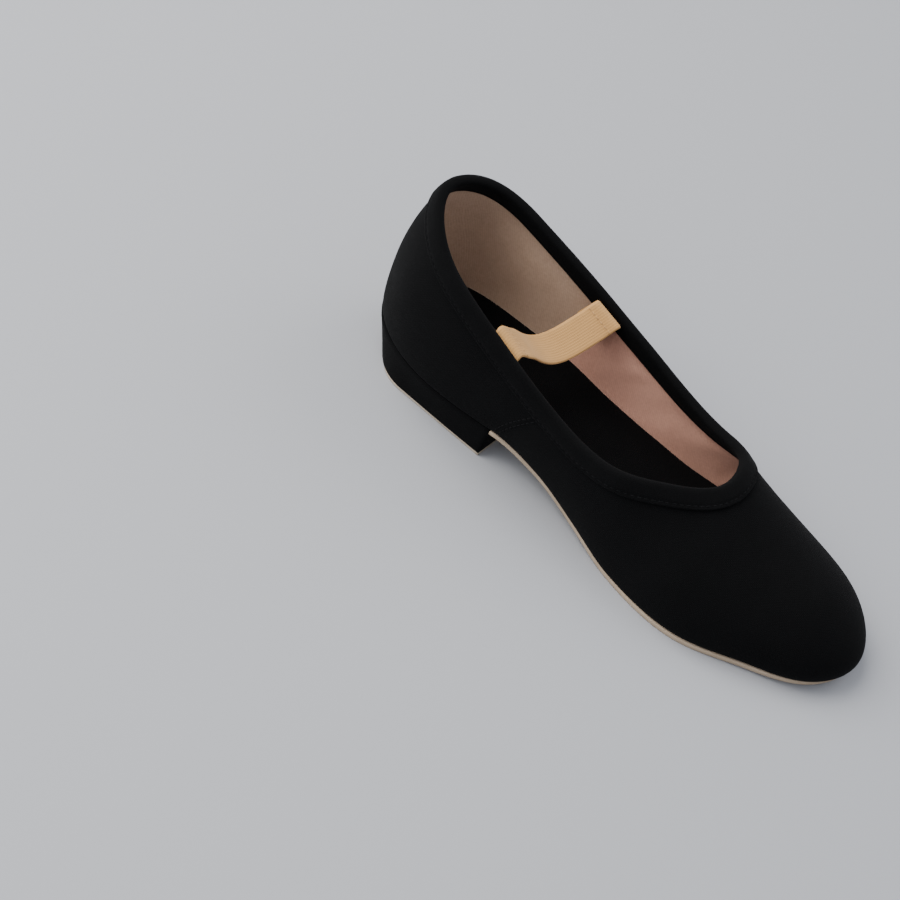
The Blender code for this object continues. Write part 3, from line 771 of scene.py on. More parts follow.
def suede(name, low, high, grain_scale):
    """Undyed leather, with a soft nap and slight marks of handling."""
    made, tree, shader = fresh_material(name, high, 0.85)
    place = tree.nodes.new("ShaderNodeTexCoord").outputs["Object"]
    cloud = noise(tree, place, scale=42.0, detail=5.0)
    streak = tree.nodes.new("ShaderNodeMapping")
    streak.inputs["Scale"].default_value = grain_scale
    tree.links.new(place, streak.inputs["Vector"])
    layers = noise(tree, streak.outputs["Vector"], scale=1.0)
    grain = noise(tree, place, scale=2200.0, detail=2.0)
    tone = weighted(tree, (cloud, 0.5), (layers, 0.3), (grain, 0.25))
    tint(tree, shader, stretch(tree, tone, 0.3, 0.8), low, high)
    shader.inputs["Specular IOR Level"].default_value = 0.3
    bump(tree, shader, weighted(tree, (grain, 1), (layers, 0.8)), strength=0.4, distance=0.0002)
    return made


BLACK = canvas("black_canvas", (0.0009, 0.0009, 0.0010), (0.0042, 0.0042, 0.0044))
TAPE = canvas("black_tape", (0.0010, 0.0010, 0.0011), (0.0044, 0.0044, 0.0046), pitch=0.0005)
INSIDE_BLACK = canvas("black_insole", (0.0009, 0.0009, 0.0010), (0.0034, 0.0034, 0.0037), 0.0008, fuzz=0.02)
DRILL = twill("taupe_drill", (0.37, 0.245, 0.165), (0.56, 0.385, 0.27))
PINK = twill("pink_lining", (0.49, 0.25, 0.18), (0.68, 0.37, 0.265), pitch=0.0008)
CREAM = elastic("cream_elastic", (0.41, 0.215, 0.070), (0.59, 0.325, 0.112))
SOLE = suede("sole_leather", (0.27, 0.20, 0.135), (0.44, 0.35, 0.255), (220.0, 900.0, 900.0))
LIFT = suede("pale_top_piece", (0.33, 0.27, 0.20), (0.50, 0.43, 0.34), (60.0, 60.0, 2200.0))
BLACK_THREAD = canvas("black_thread", (0.003, 0.003, 0.0035), (0.010, 0.010, 0.0105), 0.0003, fuzz=0.02)
CREAM_THREAD = canvas("cream_thread", (0.46, 0.27, 0.12), (0.64, 0.40, 0.19), 0.0003, fuzz=0.02)


# Pieces


def build(name, points, faces, layout, materials, chosen, node_name):
    """Smooth mesh piece with its flat layout in metres and a material for each face."""
    mesh = bpy.data.meshes.new(name)
    moved = np.asarray(points, float) - ORIGIN
    mesh.from_pydata([tuple(p) for p in moved], [], faces)
    flat = mesh.uv_layers.new(name="flat")
    loops = np.array([loop.vertex_index for loop in mesh.loops])
    flat.data.foreach_set("uv", np.asarray(layout, float)[loops].ravel())
    for made in materials:
        mesh.materials.append(made)
    mesh.polygons.foreach_set("material_index", chosen)
    mesh.polygons.foreach_set("use_smooth", [True] * len(faces))
    shape = bmesh.new()
    shape.from_mesh(mesh)
    bmesh.ops.recalc_face_normals(shape, faces=shape.faces[:])
    shape.to_mesh(mesh)
    shape.free()
    mesh.update()
    piece = bpy.data.objects.new(name, mesh)
    bpy.context.collection.objects.link(piece)
    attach(piece, "root")
    if node_name:
        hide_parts(node_name)


def seam_x(up):
    """Line of the side seam, from the front of the heel up to the tape ahead of the strap."""
    return (SEAM_SHARE + SEAM_RAKE * up) * LENGTH


def lining_x(up):
    """Where the lining changes inside, below the strap."""
    return (LINING_SHARE + LINING_RAKE * up) * LENGTH


def folds(table, t, up):
    """Sum of the soft folds of a table at places round the feather line and shares of the way up."""
    height = np.zeros(t.shape)
    for place, level, half_round, half_up, lean, tall in table:
        rise = up - level
        apart = (t - place + ROUND / 2) % ROUND - ROUND / 2 - lean * rise
        height += tall * np.exp(-(apart / half_round)**2 - (rise / half_up)**2)
    return height


def cloth_relief(t, up, x):
    """Height of the cloth over the plain form: the lapped side seam and the creases."""
    past = (x - seam_x(up)) / SEAM_SOFTNESS
    fade = 1 / (1 + np.exp((x - seam_x(up) - SEAM_LAP) / SEAM_FADE))
    lap = SEAM_STEP / (1 + np.exp(-past * SEAM_CRISPNESS)) * fade
    groove = SEAM_GROOVE * np.exp(-past**2 * SEAM_GROOVE_CRISPNESS)
    return (lap - groove + folds(CREASES, t, up)) * np.clip(up / RELIEF_FROM, 0, 1)


def rib_rows(times, rims, start, fractions):
    """Shares and lengths up each rib at even steps of its length, from a height above the feather line."""
    count = len(times)
    s = np.linspace(0, 1, 160)
    shares = rims[:, None] * s[None, :]
    grid = last_point(np.repeat(times, len(s)), shares.ravel()).reshape(count, len(s), 3)
    found, arcs = np.zeros((count, len(fractions))), np.zeros((count, len(fractions)))
    for k in range(count):
        length = run_length(grid[k])
        first = np.interp(start, grid[k, :40, 2] - grid[k, 0, 2], length[:40])
        arcs[k] = first + (length[-1] - first) * np.asarray(fractions)
        found[k] = np.interp(arcs[k], length, shares[k])
    return found, arcs


def twin_of(index):
    """Number of the rib across the shoe."""
    return (len(RIBS) - index) % len(RIBS)


def fan_ribs():
    """Numbers of the ribs that meet in one point above the toe."""
    middle = rib_top(plan(RIBS), plan(ROUND - RIBS))
    return [i for i in VAMP_RIBS if middle[i] >= TOE_ANCHOR - 0.0001]


def outer_cloth(rise, fan, tip):
    """Outer face of the cloth, a row of points up each rib, with its directions and lengths."""
    count, rows = len(RIBS), len(rise)
    shares, arcs = rib_rows(RIBS, RIM, 0.0, rise)
    times = np.repeat(RIBS, rows)
    base = last_point(times, shares.ravel())
    normal = last_normal(times, shares.ravel()).reshape(count, rows, 3)
    for index in VAMP_RIBS:
        twin = twin_of(index)
        if index <= twin:
            mean = normal[index, -1] + normal[twin, -1]
            normal[index, -1] = normal[twin, -1] = mean / np.linalg.norm(mean)
    normal[fan, -1] = tip
    lift = cloth_relief(times, np.tile(rise, count), base[:, 0]).reshape(count, rows)
    lift[:, -1] *= RIM_RELIEF
    for index in VAMP_RIBS:
        lift[index, -3:] *= RIDGE_RELIEF
    return base.reshape(count, rows, 3) + normal * lift[:, :, None], normal, arcs


def lining(rise, outer_normal):
    """Inner face of the upper, from the rim or the ridge of the vamp down to the turned margin."""
    count, rows = len(RIBS), len(rise)
    shares, arcs = rib_rows(RIBS, RIM, MARGIN_THICKNESS, rise)
    times = np.repeat(RIBS, rows)
    normal = last_normal(times, shares.ravel()).reshape(count, rows, 3)
    for index in VAMP_RIBS:
        normal[index, 0] = outer_normal[index, -1]
    depth = folds(LINING_FOLDS, times, np.tile(rise, count)).reshape(count, rows)
    below_top = np.clip((FOLDS_TOP - rise) / FOLDS_TOP_STEP, 0, 1)
    depth *= below_top * np.clip((rise - FOLDS_FOOT) / FOLDS_FOOT_STEP, 0, 1)
    inside = last_point(times, shares.ravel()).reshape(count, rows, 3) - normal * (WALL + depth)[:, :, None]
    inside[:, -1, 2] = feather_height(inside[:, -1, 0]) + MARGIN_THICKNESS
    return inside, arcs


def upper():
    """Outer canvas, lining and turned margin as one closed piece."""
    rows = 48
    count, depth = len(RIBS), 2 * rows + 2
    top, under = rows - 1, rows
    rise = np.linspace(0, 1, rows)
    fan = fan_ribs()
    tip = np.array([-TOE_SLOPE, 0.0, 1.0]) / math.hypot(TOE_SLOPE, 1.0)
    outside, normal, outer_arc = outer_cloth(rise, fan, tip)
    inside, inner_arc = lining(rise[::-1], normal)
    foot, away = plan(RIBS), outward(RIBS)
    edge = foot - away * (WALL + MARGIN_WIDTH)
    floor = feather_height(edge[:, 0])

    points = np.zeros((count, depth, 3))
    points[:, :rows] = outside
    points[:, rows:2 * rows] = inside
    points[:, -2] = np.column_stack([edge, floor + MARGIN_THICKNESS])
    points[:, -1] = np.column_stack([edge, floor])
    points[fan[0], under] = points[fan[0], top] - WALL * tip
    layout = np.zeros((count, depth, 2))
    layout[:, :, 0] = run_length(foot)[:, None]
    layout[:, :rows, 1] = outer_arc
    layout[:, rows:2 * rows, 1] = inner_arc
    layout[:, -2:, 1] = -MARGIN_WIDTH

    index_of = np.arange(count * depth).reshape(count, depth)
    for index in VAMP_RIBS:
        index_of[index, [top, under]] = index_of[min(index, twin_of(index)), [top, under]]
    for index in fan:
        index_of[index, [top, under]] = index_of[fan[0], [top, under]]

    faces, chosen = [], []
    for index in range(count):
        following = (index + 1) % count
        closed = index in VAMP_RIBS and following in VAMP_RIBS
        for row in range(depth):
            below = (row + 1) % depth
            ring = distinct((int(index_of[index, row]), int(index_of[index, below]),
                             int(index_of[following, below]), int(index_of[following, row])))
            if len(ring) < 3 or (closed and row == top):
                continue
            faces.append(ring)
            kind = 0
            if rows <= row < 2 * rows - 1:
                kind = 1 if points[index, row, 0] < lining_x(rise[2 * rows - 1 - row]) else 2
            chosen.append(kind)
    used = sorted({v for ring in faces for v in ring})
    renumber = {old: new for new, old in enumerate(used)}
    faces = [[renumber[v] for v in ring] for ring in faces]
    build("upper_cloth", points.reshape(-1, 3)[used], faces, layout.reshape(-1, 2)[used],
          (BLACK, DRILL, PINK), chosen, "upper")


def collar_line():
    """Rim of the upper as a closed loop: places, points, and directions out and away from the opening."""
    ribs = list(range(THROAT_RIB, -1, -1)) + list(range(len(RIBS) - 1, len(RIBS) - THROAT_RIB, -1))
    t, s = RIBS[ribs], RIM[ribs]
    points, outs = last_point(t, s), last_normal(t, s)
    outs[0, 1] = 0.0
    outs[0] /= np.linalg.norm(outs[0])
    along = np.roll(points, -1, 0) - np.roll(points, 1, 0)
    along[0] = (0.0, -1.0, 0.0)
    away = unit(np.cross(outs, unit(along)))
    if away[THROAT_RIB, 2] > 0:
        away = -away
    return t, s, points, outs, away


def surface_from_rim(line, depth):
    """Points and outward directions a given way down from the rim, over the outer face."""
    t, s, points, _, away = line
    found_t, found_s = walk(t, s, points + away * depth)
    here, direction = last_point(found_t, found_s), last_normal(found_t, found_s)
    direction[0, 1] = 0.0
    direction[0] /= np.linalg.norm(direction[0])
    return here, direction


def binding(line):
    """Tape folded over the rim, rounded at the fold, pulled in a little by its stitches."""
    points, outs, away = line[2:]
    count = len(points)
    run = run_length(points)
    near, over = WALL + BINDING_GAP, BINDING_GAP + BINDING_THICKNESS
    middle, half = -0.5 * WALL, 0.5 * WALL + over
    depths = np.array(column(TAPE_PROFILE, 0, BINDING_WIDTH))
    puffs = column(TAPE_PROFILE, 1)
    outer = [surface_from_rim(line, depth) for depth in depths]
    inside = [surface_from_rim(line, depth * BINDING_INSIDE / BINDING_WIDTH) for depth in depths]
    wave = np.ones(count)
    for share, pace, shift in TAPE_WAVES:
        wave += share * np.sin(run * pace + shift)
    rings, flats = [], []
    for depth, (base, direction), puff in zip(depths, outer, puffs):
        swell = wave if puff > TAPE_WAVY_FROM else np.ones(count)
        lift = BINDING_GAP + BINDING_THICKNESS * puff * swell
        rings.append(base + direction * lift[:, None])
        flats.append(depth)
    for angle in np.radians(TAPE_FOLD_ANGLES):
        rise = over * math.sin(angle) * TAPE_FOLD_RISE
        out = middle + half * math.cos(angle)
        rings.append(points + outs * out - away * rise)
        flats.append(-half * angle)
    for depth, (base, direction), puff in reversed(list(zip(depths, inside, puffs))):
        rings.append(base - direction * (near + BINDING_THICKNESS * puff))
        flats.append(-half * math.pi - depth)
    for base, direction in (inside[0], inside[-1]):
        rings.append(base - direction * near)
    rings.append(points + outs * middle - away * BINDING_GAP)
    for base, direction in (outer[-1], outer[0]):
        rings.append(base + direction * BINDING_GAP)
    flats += [-half * math.pi - BINDING_WIDTH, *TAPE_UNDER_LAYOUT, BINDING_WIDTH]

    width = len(rings)
    layout = np.zeros((count, width, 2))
    layout[:, :, 0] = run[:, None]
    layout[:, :, 1] = np.array(flats)[None, :]
    faces = []
    for i in range(count):
        here, following = i * width, (i + 1) % count * width
        for k in range(width):
            beside = (k + 1) % width
            faces.append((here + k, here + beside, following + beside, following + k))
    build("collar_tape", np.stack(rings, 1).reshape(-1, 3), faces, layout.reshape(-1, 2), (TAPE,),
          [0] * len(faces), "topline_binding")


def stitches(name, centres, along, outs, size, made, sides=6):
    """Row of short rounded stitches lying on a surface."""
    length, radius = size["length"], size["radius"]
    verts, faces, layout = [], [], []
    for centre, run, out in zip(centres, along, outs):
        side = np.cross(run, out)
        start = len(verts)
        for step, thick in STITCH_PROFILE:
            sink = STITCH_ARCH * radius * (1 - 4 * step * step)
            for k in range(sides):
                turn = 2 * math.pi * k / sides
                spoke = side * math.cos(turn) + out * math.sin(turn)
                verts.append(centre + run * step * length + out * sink + spoke * radius * thick)
                layout.append((step * length, turn * radius))
        for ring in range(len(STITCH_PROFILE) - 1):
            for k in range(sides):
                a, b = start + ring * sides + k, start + ring * sides + (k + 1) % sides
                faces.append((a, b, b + sides, a + sides))
        faces.append(tuple(start + k for k in reversed(range(sides))))
        last = start + (len(STITCH_PROFILE) - 1) * sides
        faces.append(tuple(last + k for k in range(sides)))
    build(name, verts, faces, layout, (made,), [0] * len(faces), None)


def evenly(points, closed, pitch):
    """Places along a line of points at an even pitch: index positions as real numbers."""
    run = points if not closed else np.vstack([points, points[:1]])
    length = run_length(run)
    count = int(length[-1] / pitch)
    wanted = (np.arange(count) + 0.5) * length[-1] / count
    return np.interp(wanted, length, np.arange(len(run)))


def pick(values, places):
    """Values between rows of a closed list."""
    low = np.floor(places).astype(int)
    share = (places - low)[:, None]
    return values[low % len(values)] * (1 - share) + values[(low + 1) % len(values)] * share


def tape_stitches(line):
    """One row of black stitches near the lower edge of the tape, outside and inside."""
    base, direction = surface_from_rim(line, TAPE_STITCH_DEPTH * BINDING_WIDTH)
    over = TAPE_STITCH_LIFT * BINDING_THICKNESS
    for name, lift, facing in (("tape_stitches", BINDING_GAP + over, 1),
                               ("tape_stitches_inside", -(WALL + BINDING_GAP + over), -1)):
        path = base + direction * lift
        along = unit(np.roll(path, -1, 0) - np.roll(path, 1, 0))
        places = evenly(path, True, TAPE_STITCH["pitch"])
        outs = unit(pick(direction, places)) * facing
        stitches(name, pick(path, places), unit(pick(along, places)), outs, TAPE_STITCH,
                 BLACK_THREAD)


def seam_path(side, shift):
    """Line beside the side seam, on the outer side 1 or the inner side -1: points and directions out."""
    t = np.linspace(*SEAM_SEARCH, 240)
    if side < 0:
        t = ROUND - t
    rims = np.interp(np.arange(len(t)), np.arange(0, len(t), 12), rim_shares(t[::12]))
    path_t, path_s = [], []
    for up in np.linspace(*SEAM_RISE, 60):
        share = rims * up**SEAM_CLIMB
        place = float(np.interp(0.0, last_point(t, share)[:, 0] - seam_x(up) - shift, t))
        path_t.append(place)
        path_s.append(float(np.interp(side * place, side * t, share)))
    normal = last_normal(path_t, path_s)
    return last_point(path_t, path_s) + normal * SEAM_LIFT, normal


def seam_stitches():
    """Two rows of stitches along the lapped seam on each side."""
    centres, runs, outs = [], [], []
    for side in (1, -1):
        for shift in SEAM_ROWS:
            path, normal = seam_path(side, shift)
            places = evenly(path, False, SEAM_STITCH["pitch"])
            along = unit(np.gradient(path, axis=0))
            centres.append(pick(path, places))
            runs.append(unit(pick(along, places)))
            outs.append(unit(pick(normal, places)))
    stitches("seam_stitches", np.vstack(centres), np.vstack(runs), np.vstack(outs), SEAM_STITCH,
             BLACK_THREAD)


def ladder(spans):
    """Faces between neighbouring rows of points, without the corners that fall together."""
    faces = []
    for first, second in zip(spans, spans[1:]):
        for k in range(len(first) - 1):
            corners = distinct((first[k], second[k], second[k + 1], first[k + 1]))
            if len(corners) > 2:
                faces.append(corners)
    return faces


def filled(name, outline, away, rows, made, node_name, across=14):
    """Closed piece with rounded edges whose top and bottom follow the feather line's height.

    Each row is an inset from the outline and a lift above that height. The first and last row are
    filled by lines of points across from one side to the other."""
    count = len(outline)
    verts, layout, rings = [], [], []

    def add(place, lift):
        x, y = place
        verts.append((x, y, float(feather_height(x)) + lift))
        layout.append((x, y + lift))
        return len(verts) - 1

    for inset, lift in rows:
        rings.append([add(point - direction * inset, lift) for point, direction in zip(outline, away)])
    faces = []
    for lower, higher in zip(rings, rings[1:]):
        for i in range(count):
            j = (i + 1) % count
            faces.append((lower[i], lower[j], higher[j], higher[i]))
    for ring, lift in ((rings[0], rows[0][1]), (rings[-1], rows[-1][1])):
        spans = []
        for i in range(count // 2 + 1):
            first, last = ring[i], ring[(count - i) % count]
            if first == last:
                spans.append([first] * (across + 1))
                continue
            a, b = np.array(verts[first][:2]), np.array(verts[last][:2])
            spans.append([first] + [add(a + (b - a) * k / across, lift) for k in range(1, across)] + [last])
        faces += ladder(spans)
    build(name, verts, faces, layout, (made,), [0] * len(faces), node_name)


def insole():
    """Black insole, slightly dished, with a soft rounded edge."""
    times, rims = RIBS[::2], RIM[::2]
    shares = rib_rows(times, rims, MARGIN_THICKNESS, (0.0,))[0][:, 0]
    wall = last_point(times, shares) - WALL * last_normal(times, shares)
    away = outward(times)
    outline = wall[:, :2] - away * INSOLE_CLEARANCE
    low = MARGIN_THICKNESS + GAP
    core = MARGIN_WIDTH + INSOLE_CLEARANCE
    rows = (
        # inset, lift
        (core, GAP),
        (core, low),
        (0.0002, low),
        (0.0, low + 0.4 * INSOLE_THICKNESS),
        (0.0003, low + 0.85 * INSOLE_THICKNESS),
        (0.0010, low + INSOLE_THICKNESS),
        (0.0060, low + 0.92 * INSOLE_THICKNESS),
    )
    filled("insole_cover", outline, away, rows, INSIDE_BLACK, "insole")


def breast_x(y):
    """Front of the heel, which runs slightly askew across the shoe."""
    return BREAST_SHARE * LENGTH + math.tan(BREAST_TURN) * y


def side_of_breast(offset):
    """Places on the outer and inner side where the outline, moved out by offset, meets the breast."""
    found = []
    for t in (np.linspace(1, 3, 400), np.linspace(ROUND - 1, ROUND - 3, 400)):
        points = plan(t) + outward(t) * offset
        past = points[:, 0] - breast_x(points[:, 1])
        found.append(float(np.interp(0.0, past, t)))
    return found


def paired(start, finish, count, toe_side):
    """Places from start round the toe or the heel to finish, with a twin on the other side for each."""
    shares = np.linspace(0, 1, count)
    if toe_side:
        outer = start + (TOE - start) * shares
        inner = finish + (TOE - finish) * shares
    else:
        outer = start * (1 - shares)
        inner = finish + (ROUND - finish) * shares
    return np.concatenate([outer, inner[::-1][1:]])


def slab(name, levels, made, node_name, across=12):
    """Closed piece between open outlines that share a straight front, filled top and bottom.

    Each level is an array of points that runs from one end of the front round to the other."""
    count = len(levels[0])
    verts, layout = [], []
    spans_of = {}

    def add(point):
        verts.append(tuple(point))
        layout.append((point[0] + point[1] * 0.3, point[2] + point[1]))
        return len(verts) - 1

    def span_between(first, last):
        if first == last:
            return [first] * (across + 1)
        if (first, last) not in spans_of:
            a, b = np.array(verts[first]), np.array(verts[last])
            inner = [add(a + (b - a) * k / across) for k in range(1, across)]
            spans_of[first, last] = [first] + inner + [last]
        return spans_of[first, last]

    rings = [[add(point) for point in level] for level in levels]
    faces = []
    for lower, higher in zip(rings, rings[1:]):
        for i in range(count - 1):
            faces.append((lower[i], lower[i + 1], higher[i + 1], higher[i]))
        first, second = span_between(lower[0], lower[-1]), span_between(higher[0], higher[-1])
        for k in range(across):
            faces.append((first[k], first[k + 1], second[k + 1], second[k]))
    for ring in (rings[0], rings[-1]):
        faces += ladder([span_between(ring[i], ring[count - 1 - i]) for i in range((count + 1) // 2)])
    build(name, verts, faces, layout, (made,), [0] * len(faces), node_name)


def sole_line(t, tuck):
    """Outline of the sole from above, which draws in under the waist and the toe."""
    line = plan(t)
    shares = column(SOLE_REACH, 0, LENGTH)
    outer, inner = (steady(shares, column(SOLE_REACH, k, SOLE_EDGE), line[:, 0]) for k in (1, 2))
    return line + outward(t) * (np.where(t <= TOE, outer, inner) - tuck)[:, None]


def outsole():
    """Thin sole with a softly rounded pale edge."""
    start, finish = side_of_breast(SOLE_EDGE)
    times = paired(start + 0.01, finish - 0.01, 110, True)
    levels = []
    for out, down in SOLE_PROFILE:
        ring = sole_line(times, SOLE_ROUNDING * (1 - out))
        for end in (0, -1):
            ring[end, 0] = breast_x(ring[end, 1]) + GAP
        z = feather_height(ring[:, 0]) - GAP - down * SOLE_THICKNESS
        levels.append(np.column_stack([ring, z]))
    slab("sole", levels[::-1], SOLE, "outsole")


def floor_outline(t, start, finish):
    """Outline of the heel at the floor, squarer at the back than the seat above it."""
    side = -1 if t < TOE else 1
    place, end = (t, start) if side < 0 else (ROUND - t, ROUND - finish)
    turn = min(place / HEEL_TURN, 1.0) * math.pi / 2
    back_width, front_width = (share * BALL_WIDTH for share in HEEL_FLOOR[side])
    x = HEEL_BACK_SLOPE + HEEL_CORNER * (1 - math.cos(turn)**HEEL_SQUARENESS)
    y = back_width * math.sin(turn)**HEEL_SQUARENESS
    if place > HEEL_TURN:
        share = (place - HEEL_TURN) / (end - HEEL_TURN)
        y = back_width + (front_width - back_width) * share
        x += (breast_x(side * front_width) - x) * share
    return x, side * y


def heel_ring(share, offset, count):
    """Outline of the heel a share of the way from the seat to the floor."""
    start, finish = side_of_breast(HEEL_EDGE)
    outline = paired(start, finish, count, False)
    seat = plan(outline) + outward(outline) * (HEEL_EDGE + offset)
    ground = np.array([floor_outline(t, start, finish) for t in outline])
    ground += outward(outline) * offset
    ring = seat * (1 - share) + ground * share
    for end in (0, -1):
        ring[end, 0] = breast_x(ring[end, 1]) + HEEL_LEAN * share
    return ring


def heel():
    """Covered heel with a rolled top edge, and its thin pale top piece."""
    count = 70
    high, low = HEEL_HEIGHT - GAP, TOP_PIECE + GAP
    levels = []
    for down, out in HEEL_PROFILE:
        height = high + (low - high) * down
        ring = heel_ring(1 - height / high, out, count)
        levels.append(np.column_stack([ring, np.full(len(ring), height)]))
    slab("heel_cover", levels, BLACK, "heel_block")
    levels = []
    for down, out, height in TOP_PIECE_PROFILE:
        ring = heel_ring(down, out - TOP_INSET, count)
        back = np.clip((HEEL_BACK_SLOPE + TOP_PIECE_BACK - ring[:, 0]) / TOP_PIECE_BACK, 0, 1)
        ring[:, 0] += TOP_PIECE_TUCK * back
        levels.append(np.column_stack([ring, np.full(len(ring), TOP_PIECE * height)]))
    slab("heel_tip", levels, LIFT, "heel_top_piece")


def rim_point(t):
    return last_point([t], rim_shares([t]))[0]


def inner_face(t, depth):
    """Point a given way down the inside of the tape, with directions into the shoe and along the rim."""
    share = rim_shares([t])
    along = rim_point(t + RIM_PROBE) - rim_point(t - RIM_PROBE)
    along /= np.linalg.norm(along)
    if along[0] < 0:
        along = -along
    out = last_normal([t], share)[0]
    down = np.cross(out, along)
    if down[2] > 0:
        down = -down
    place_t, place_s = walk([t], share, rim_point(t) + down * depth)
    point, out = last_point(place_t, place_s)[0], last_normal(place_t, place_s)[0]
    return point - out * (WALL + BINDING_GAP + GAP + BINDING_THICKNESS), -out, along


def strap_path():
    """Middle line of the strap with its width direction: tab, fold, sag, fold, tab."""
    ends = []
    for place, side in ((STRAP_OUTER_SHARE, 1), (STRAP_INNER_SHARE, -1)):
        t = np.linspace(1, 4, 60) if side == 1 else ROUND - np.linspace(1, 4, 60)
        rims = last_point(t, rim_shares(t))[:, 0]
        ends.append(float(np.interp(place * LENGTH, rims, t)))
    half = STRAP_THICKNESS / 2
    tabs, turns = [], []
    for t in ends:
        rows = []
        for share in STRAP_TAB_ROWS:
            point, inwards, along = inner_face(t, share * STRAP_TAB)
            clear = TAB_CLEARANCE + (TAB_FOLD if share == STRAP_TAB_ROWS[-1] else 0.0)
            rows.append((point + inwards * (half + clear), along))
        tabs.append(rows)
        inset = 3 * half + TAB_CLEARANCE + GAP + TAB_FOLD
        turns.append((point + inwards * inset + (0, 0, STRAP_LIFT), along))
    path = [point for point, along in tabs[0]]
    across = [along for point, along in tabs[0]]
    start, finish = turns
    span = float(np.linalg.norm(finish[0] - start[0]))
    for share in np.linspace(0, 1, 13):
        drop = span * float(smooth(column(STRAP_SAG, 0), column(STRAP_SAG, 1), share))
        path.append(start[0] + (finish[0] - start[0]) * share - np.array([0, 0, drop]))
        across.append(start[1] + (finish[1] - start[1]) * share)
    path += [point for point, along in reversed(tabs[1])]
    across += [along for point, along in reversed(tabs[1])]
    return np.array(path), unit(np.array(across))


def resample(path, values, pitch):
    """Smooth curve through the path at an even pitch, with the values that go with it."""
    length = run_length(path)
    wanted = np.linspace(0, length[-1], int(length[-1] / pitch) + 1)
    fine = np.column_stack([smooth(length, path[:, k], wanted) for k in range(3)])
    with_it = np.column_stack([np.interp(wanted, length, values[:, k]) for k in range(3)])
    return fine, unit(with_it), wanted


def strap_section():
    """Half section of the strap: shares across its width, and how thick it is on each side there."""
    section = []
    for k in range(STRAP_COLUMNS + 1):
        share = k / STRAP_COLUMNS
        thin = {0: 0.45, 1: 0.85}.get(min(k, STRAP_COLUMNS - k), 1.0)
        ribs = 1 + STRAP_RIB_SHARE * math.cos(share * 2 * math.pi * STRAP_RIBS)
        section.append((share - 0.5, STRAP_THICKNESS / 2 * thin * ribs))
    return section


def strap():
    """Woven elastic strap with softly rounded edges."""
    path, across, run = resample(*strap_path(), STRAP_STEP)
    face = unit(np.cross(np.gradient(path, axis=0), across))
    section = strap_section()
    verts, layout = [], []
    for point, wide, thick, place in zip(path, across, face, run):
        for share, lift in section:
            verts.append(point + wide * share * STRAP_WIDTH + thick * lift)
            layout.append((share * STRAP_WIDTH, place))
        for share, lift in reversed(section):
            verts.append(point + wide * share * STRAP_WIDTH - thick * lift)
            layout.append((share * STRAP_WIDTH + 0.02, place))
    width = len(section)
    ring = 2 * width
    faces = []
    for start in range(0, (len(path) - 1) * ring, ring):
        for k in range(ring):
            beside = (k + 1) % ring
            faces.append((start + k, start + beside, start + ring + beside, start + ring + k))
    for base in (0, (len(path) - 1) * ring):
        for k in range(width - 1):
            faces.append((base + k, base + k + 1, base + ring - 2 - k, base + ring - 1 - k))
    build("strap", verts, faces, layout, (CREAM,), [0] * len(faces), "elastic_strap")
    return path, across, face


def strap_stitches(path, across, face):
    """Rows of stitches across the strap: on each tab, and just past each fold."""
    top = face if face[len(face) // 2, 2] > 0 else -face
    length = run_length(path)
    near_start = [STRAP_STITCH_TAB * STRAP_TAB, STRAP_TAB + STRAP_STITCH_PAST_FOLD]
    near_finish = [length[-1] - place for place in reversed(near_start)]
    centres, runs, outs = [], [], []
    for place in near_start + near_finish:
        k = int(np.argmin(np.abs(length - place)))
        for share in np.linspace(-STRAP_STITCH_REACH, STRAP_STITCH_REACH, STRAP_STITCHES_ACROSS):
            aside = across[k] * share * STRAP_WIDTH
            centres.append(path[k] + aside + top[k] * STRAP_STITCH_LIFT * STRAP_THICKNESS)
            runs.append(across[k])
            outs.append(top[k])
    stitches("strap_stitches", centres, runs, outs, STRAP_STITCH, CREAM_THREAD)


upper()
rim_line = collar_line()
binding(rim_line)
tape_stitches(rim_line)
seam_stitches()
insole()
outsole()
heel()
strap_stitches(*strap())


# Floor, light and camera

FLOOR_HALF = 6.0
IMAGE_SIZE = 900
SENSOR_WIDTH = 36.0
CAMERA = {"azimuth": 8.82, "elevation": 44.75, "roll": 31.09, "distance": 0.9504,
          "focal": 2350.5, "target_x": 637.7, "target_y": 439.1}
TARGET = np.array([LENGTH / 2, 0.0, 0.035])
LIGHT_AIM = Vector((0, 0, 0.03))

# Soft square lights: shares of the camera's right, top and near directions, lift, and the light itself
LIGHTS = (
    # name, right, top, near, lift, distance, size, power, colour
    ("key", -0.35, 0.8, 0.55, 0.0, 1.5, 1.3, 38, (1.0, 0.98, 0.95)),
    ("fill", -0.9, 0.0, 0.7, 0.3, 1.8, 1.6, 16, (0.95, 0.97, 1.0)),
    ("rim", 0.9, 0.5, 0.0, 0.3, 1.6, 1.0, 6, (1.0, 1.0, 1.0)),
)


def floor():
    corners = [(x * FLOOR_HALF, y * FLOOR_HALF, 0) for x, y in ((-1, -1), (1, -1), (1, 1), (-1, 1))]
    mesh = bpy.data.meshes.new("floor")
    mesh.from_pydata(corners, [], [(0, 1, 2, 3)])
    made, _, shader = fresh_material("floor", (0.37, 0.375, 0.39), 0.85)
    shader.inputs["Specular IOR Level"].default_value = 0.2
    mesh.materials.append(made)
    piece = bpy.data.objects.new("floor", mesh)
    bpy.context.collection.objects.link(piece)


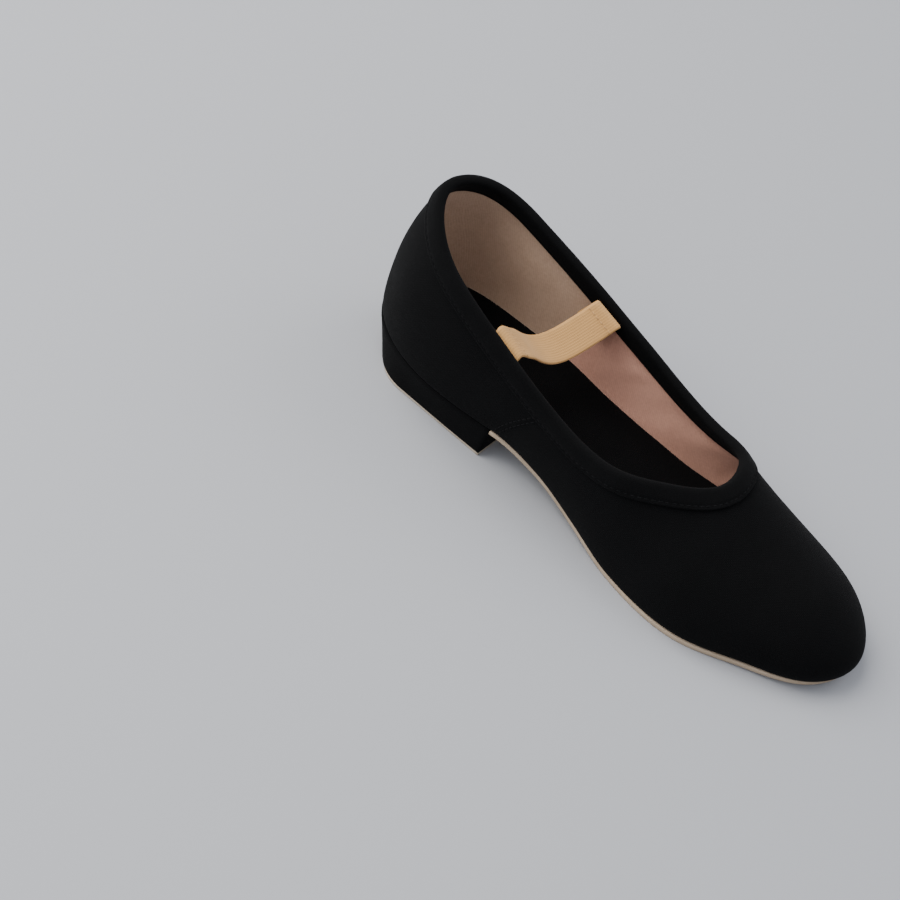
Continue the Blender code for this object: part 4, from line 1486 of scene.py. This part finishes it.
def camera():
    """Camera at the photograph's angle to the shoe, rolled as the shoe leans there."""
    azimuth, elevation, roll = (math.radians(CAMERA[key]) for key in ("azimuth", "elevation", "roll"))
    back = np.array([math.sin(azimuth) * math.cos(elevation), -math.cos(azimuth) * math.cos(elevation),
                     math.sin(elevation)])
    place = TARGET + back * CAMERA["distance"] - ORIGIN
    right = np.cross(-back, (0, 0, 1))
    right /= np.linalg.norm(right)
    above = np.cross(right, -back)
    tilted = np.stack([math.cos(roll) * right + math.sin(roll) * above,
                       -math.sin(roll) * right + math.cos(roll) * above, -back])
    aside = (CAMERA["target_x"] - IMAGE_SIZE / 2) / CAMERA["focal"]
    below = (CAMERA["target_y"] - IMAGE_SIZE / 2) / CAMERA["focal"]
    turn = Vector((0, 0, 1)).rotation_difference(Vector((aside, -below, 1.0))).to_matrix()
    rows = np.array(turn) @ tilted
    world = Matrix.Identity(4)
    for i in range(3):
        world[i][0], world[i][1], world[i][2], world[i][3] = rows[0, i], rows[1, i], -rows[2, i], place[i]
    data = bpy.data.cameras.new("camera")
    data.sensor_width = SENSOR_WIDTH
    data.lens = SENSOR_WIDTH * CAMERA["focal"] / IMAGE_SIZE
    data.clip_start, data.clip_end = 0.02, 20.0
    made = bpy.data.objects.new("camera", data)
    made.matrix_world = world
    bpy.context.collection.objects.link(made)
    bpy.context.scene.camera = made
    return world


def area(name, direction, distance, size, power, colour):
    """Soft square light that shines on the shoe from a direction."""
    data = bpy.data.lights.new(name, "AREA")
    data.size = size
    data.energy = power
    data.color = colour
    made = bpy.data.objects.new(name, data)
    made.location = direction.normalized() * distance + LIGHT_AIM
    made.rotation_euler = (made.location - LIGHT_AIM).to_track_quat("Z", "Y").to_euler()
    bpy.context.collection.objects.link(made)


floor()
view = camera()
right_of_view, top_of_view, to_camera = (Vector([view[i][k] for i in range(3)]) for k in range(3))
for name, right, top, near, lift, distance, size, power, colour in LIGHTS:
    towards = right_of_view * right + top_of_view * top + to_camera * near + Vector((0, 0, lift))
    area(name, towards, distance, size, power, colour)
world = bpy.data.worlds.new("studio")
bpy.context.scene.world = world
world.use_nodes = True
world.node_tree.nodes["Background"].inputs["Color"].default_value = (0.86, 0.90, 1.0, 1.0)
world.node_tree.nodes["Background"].inputs["Strength"].default_value = 0.8
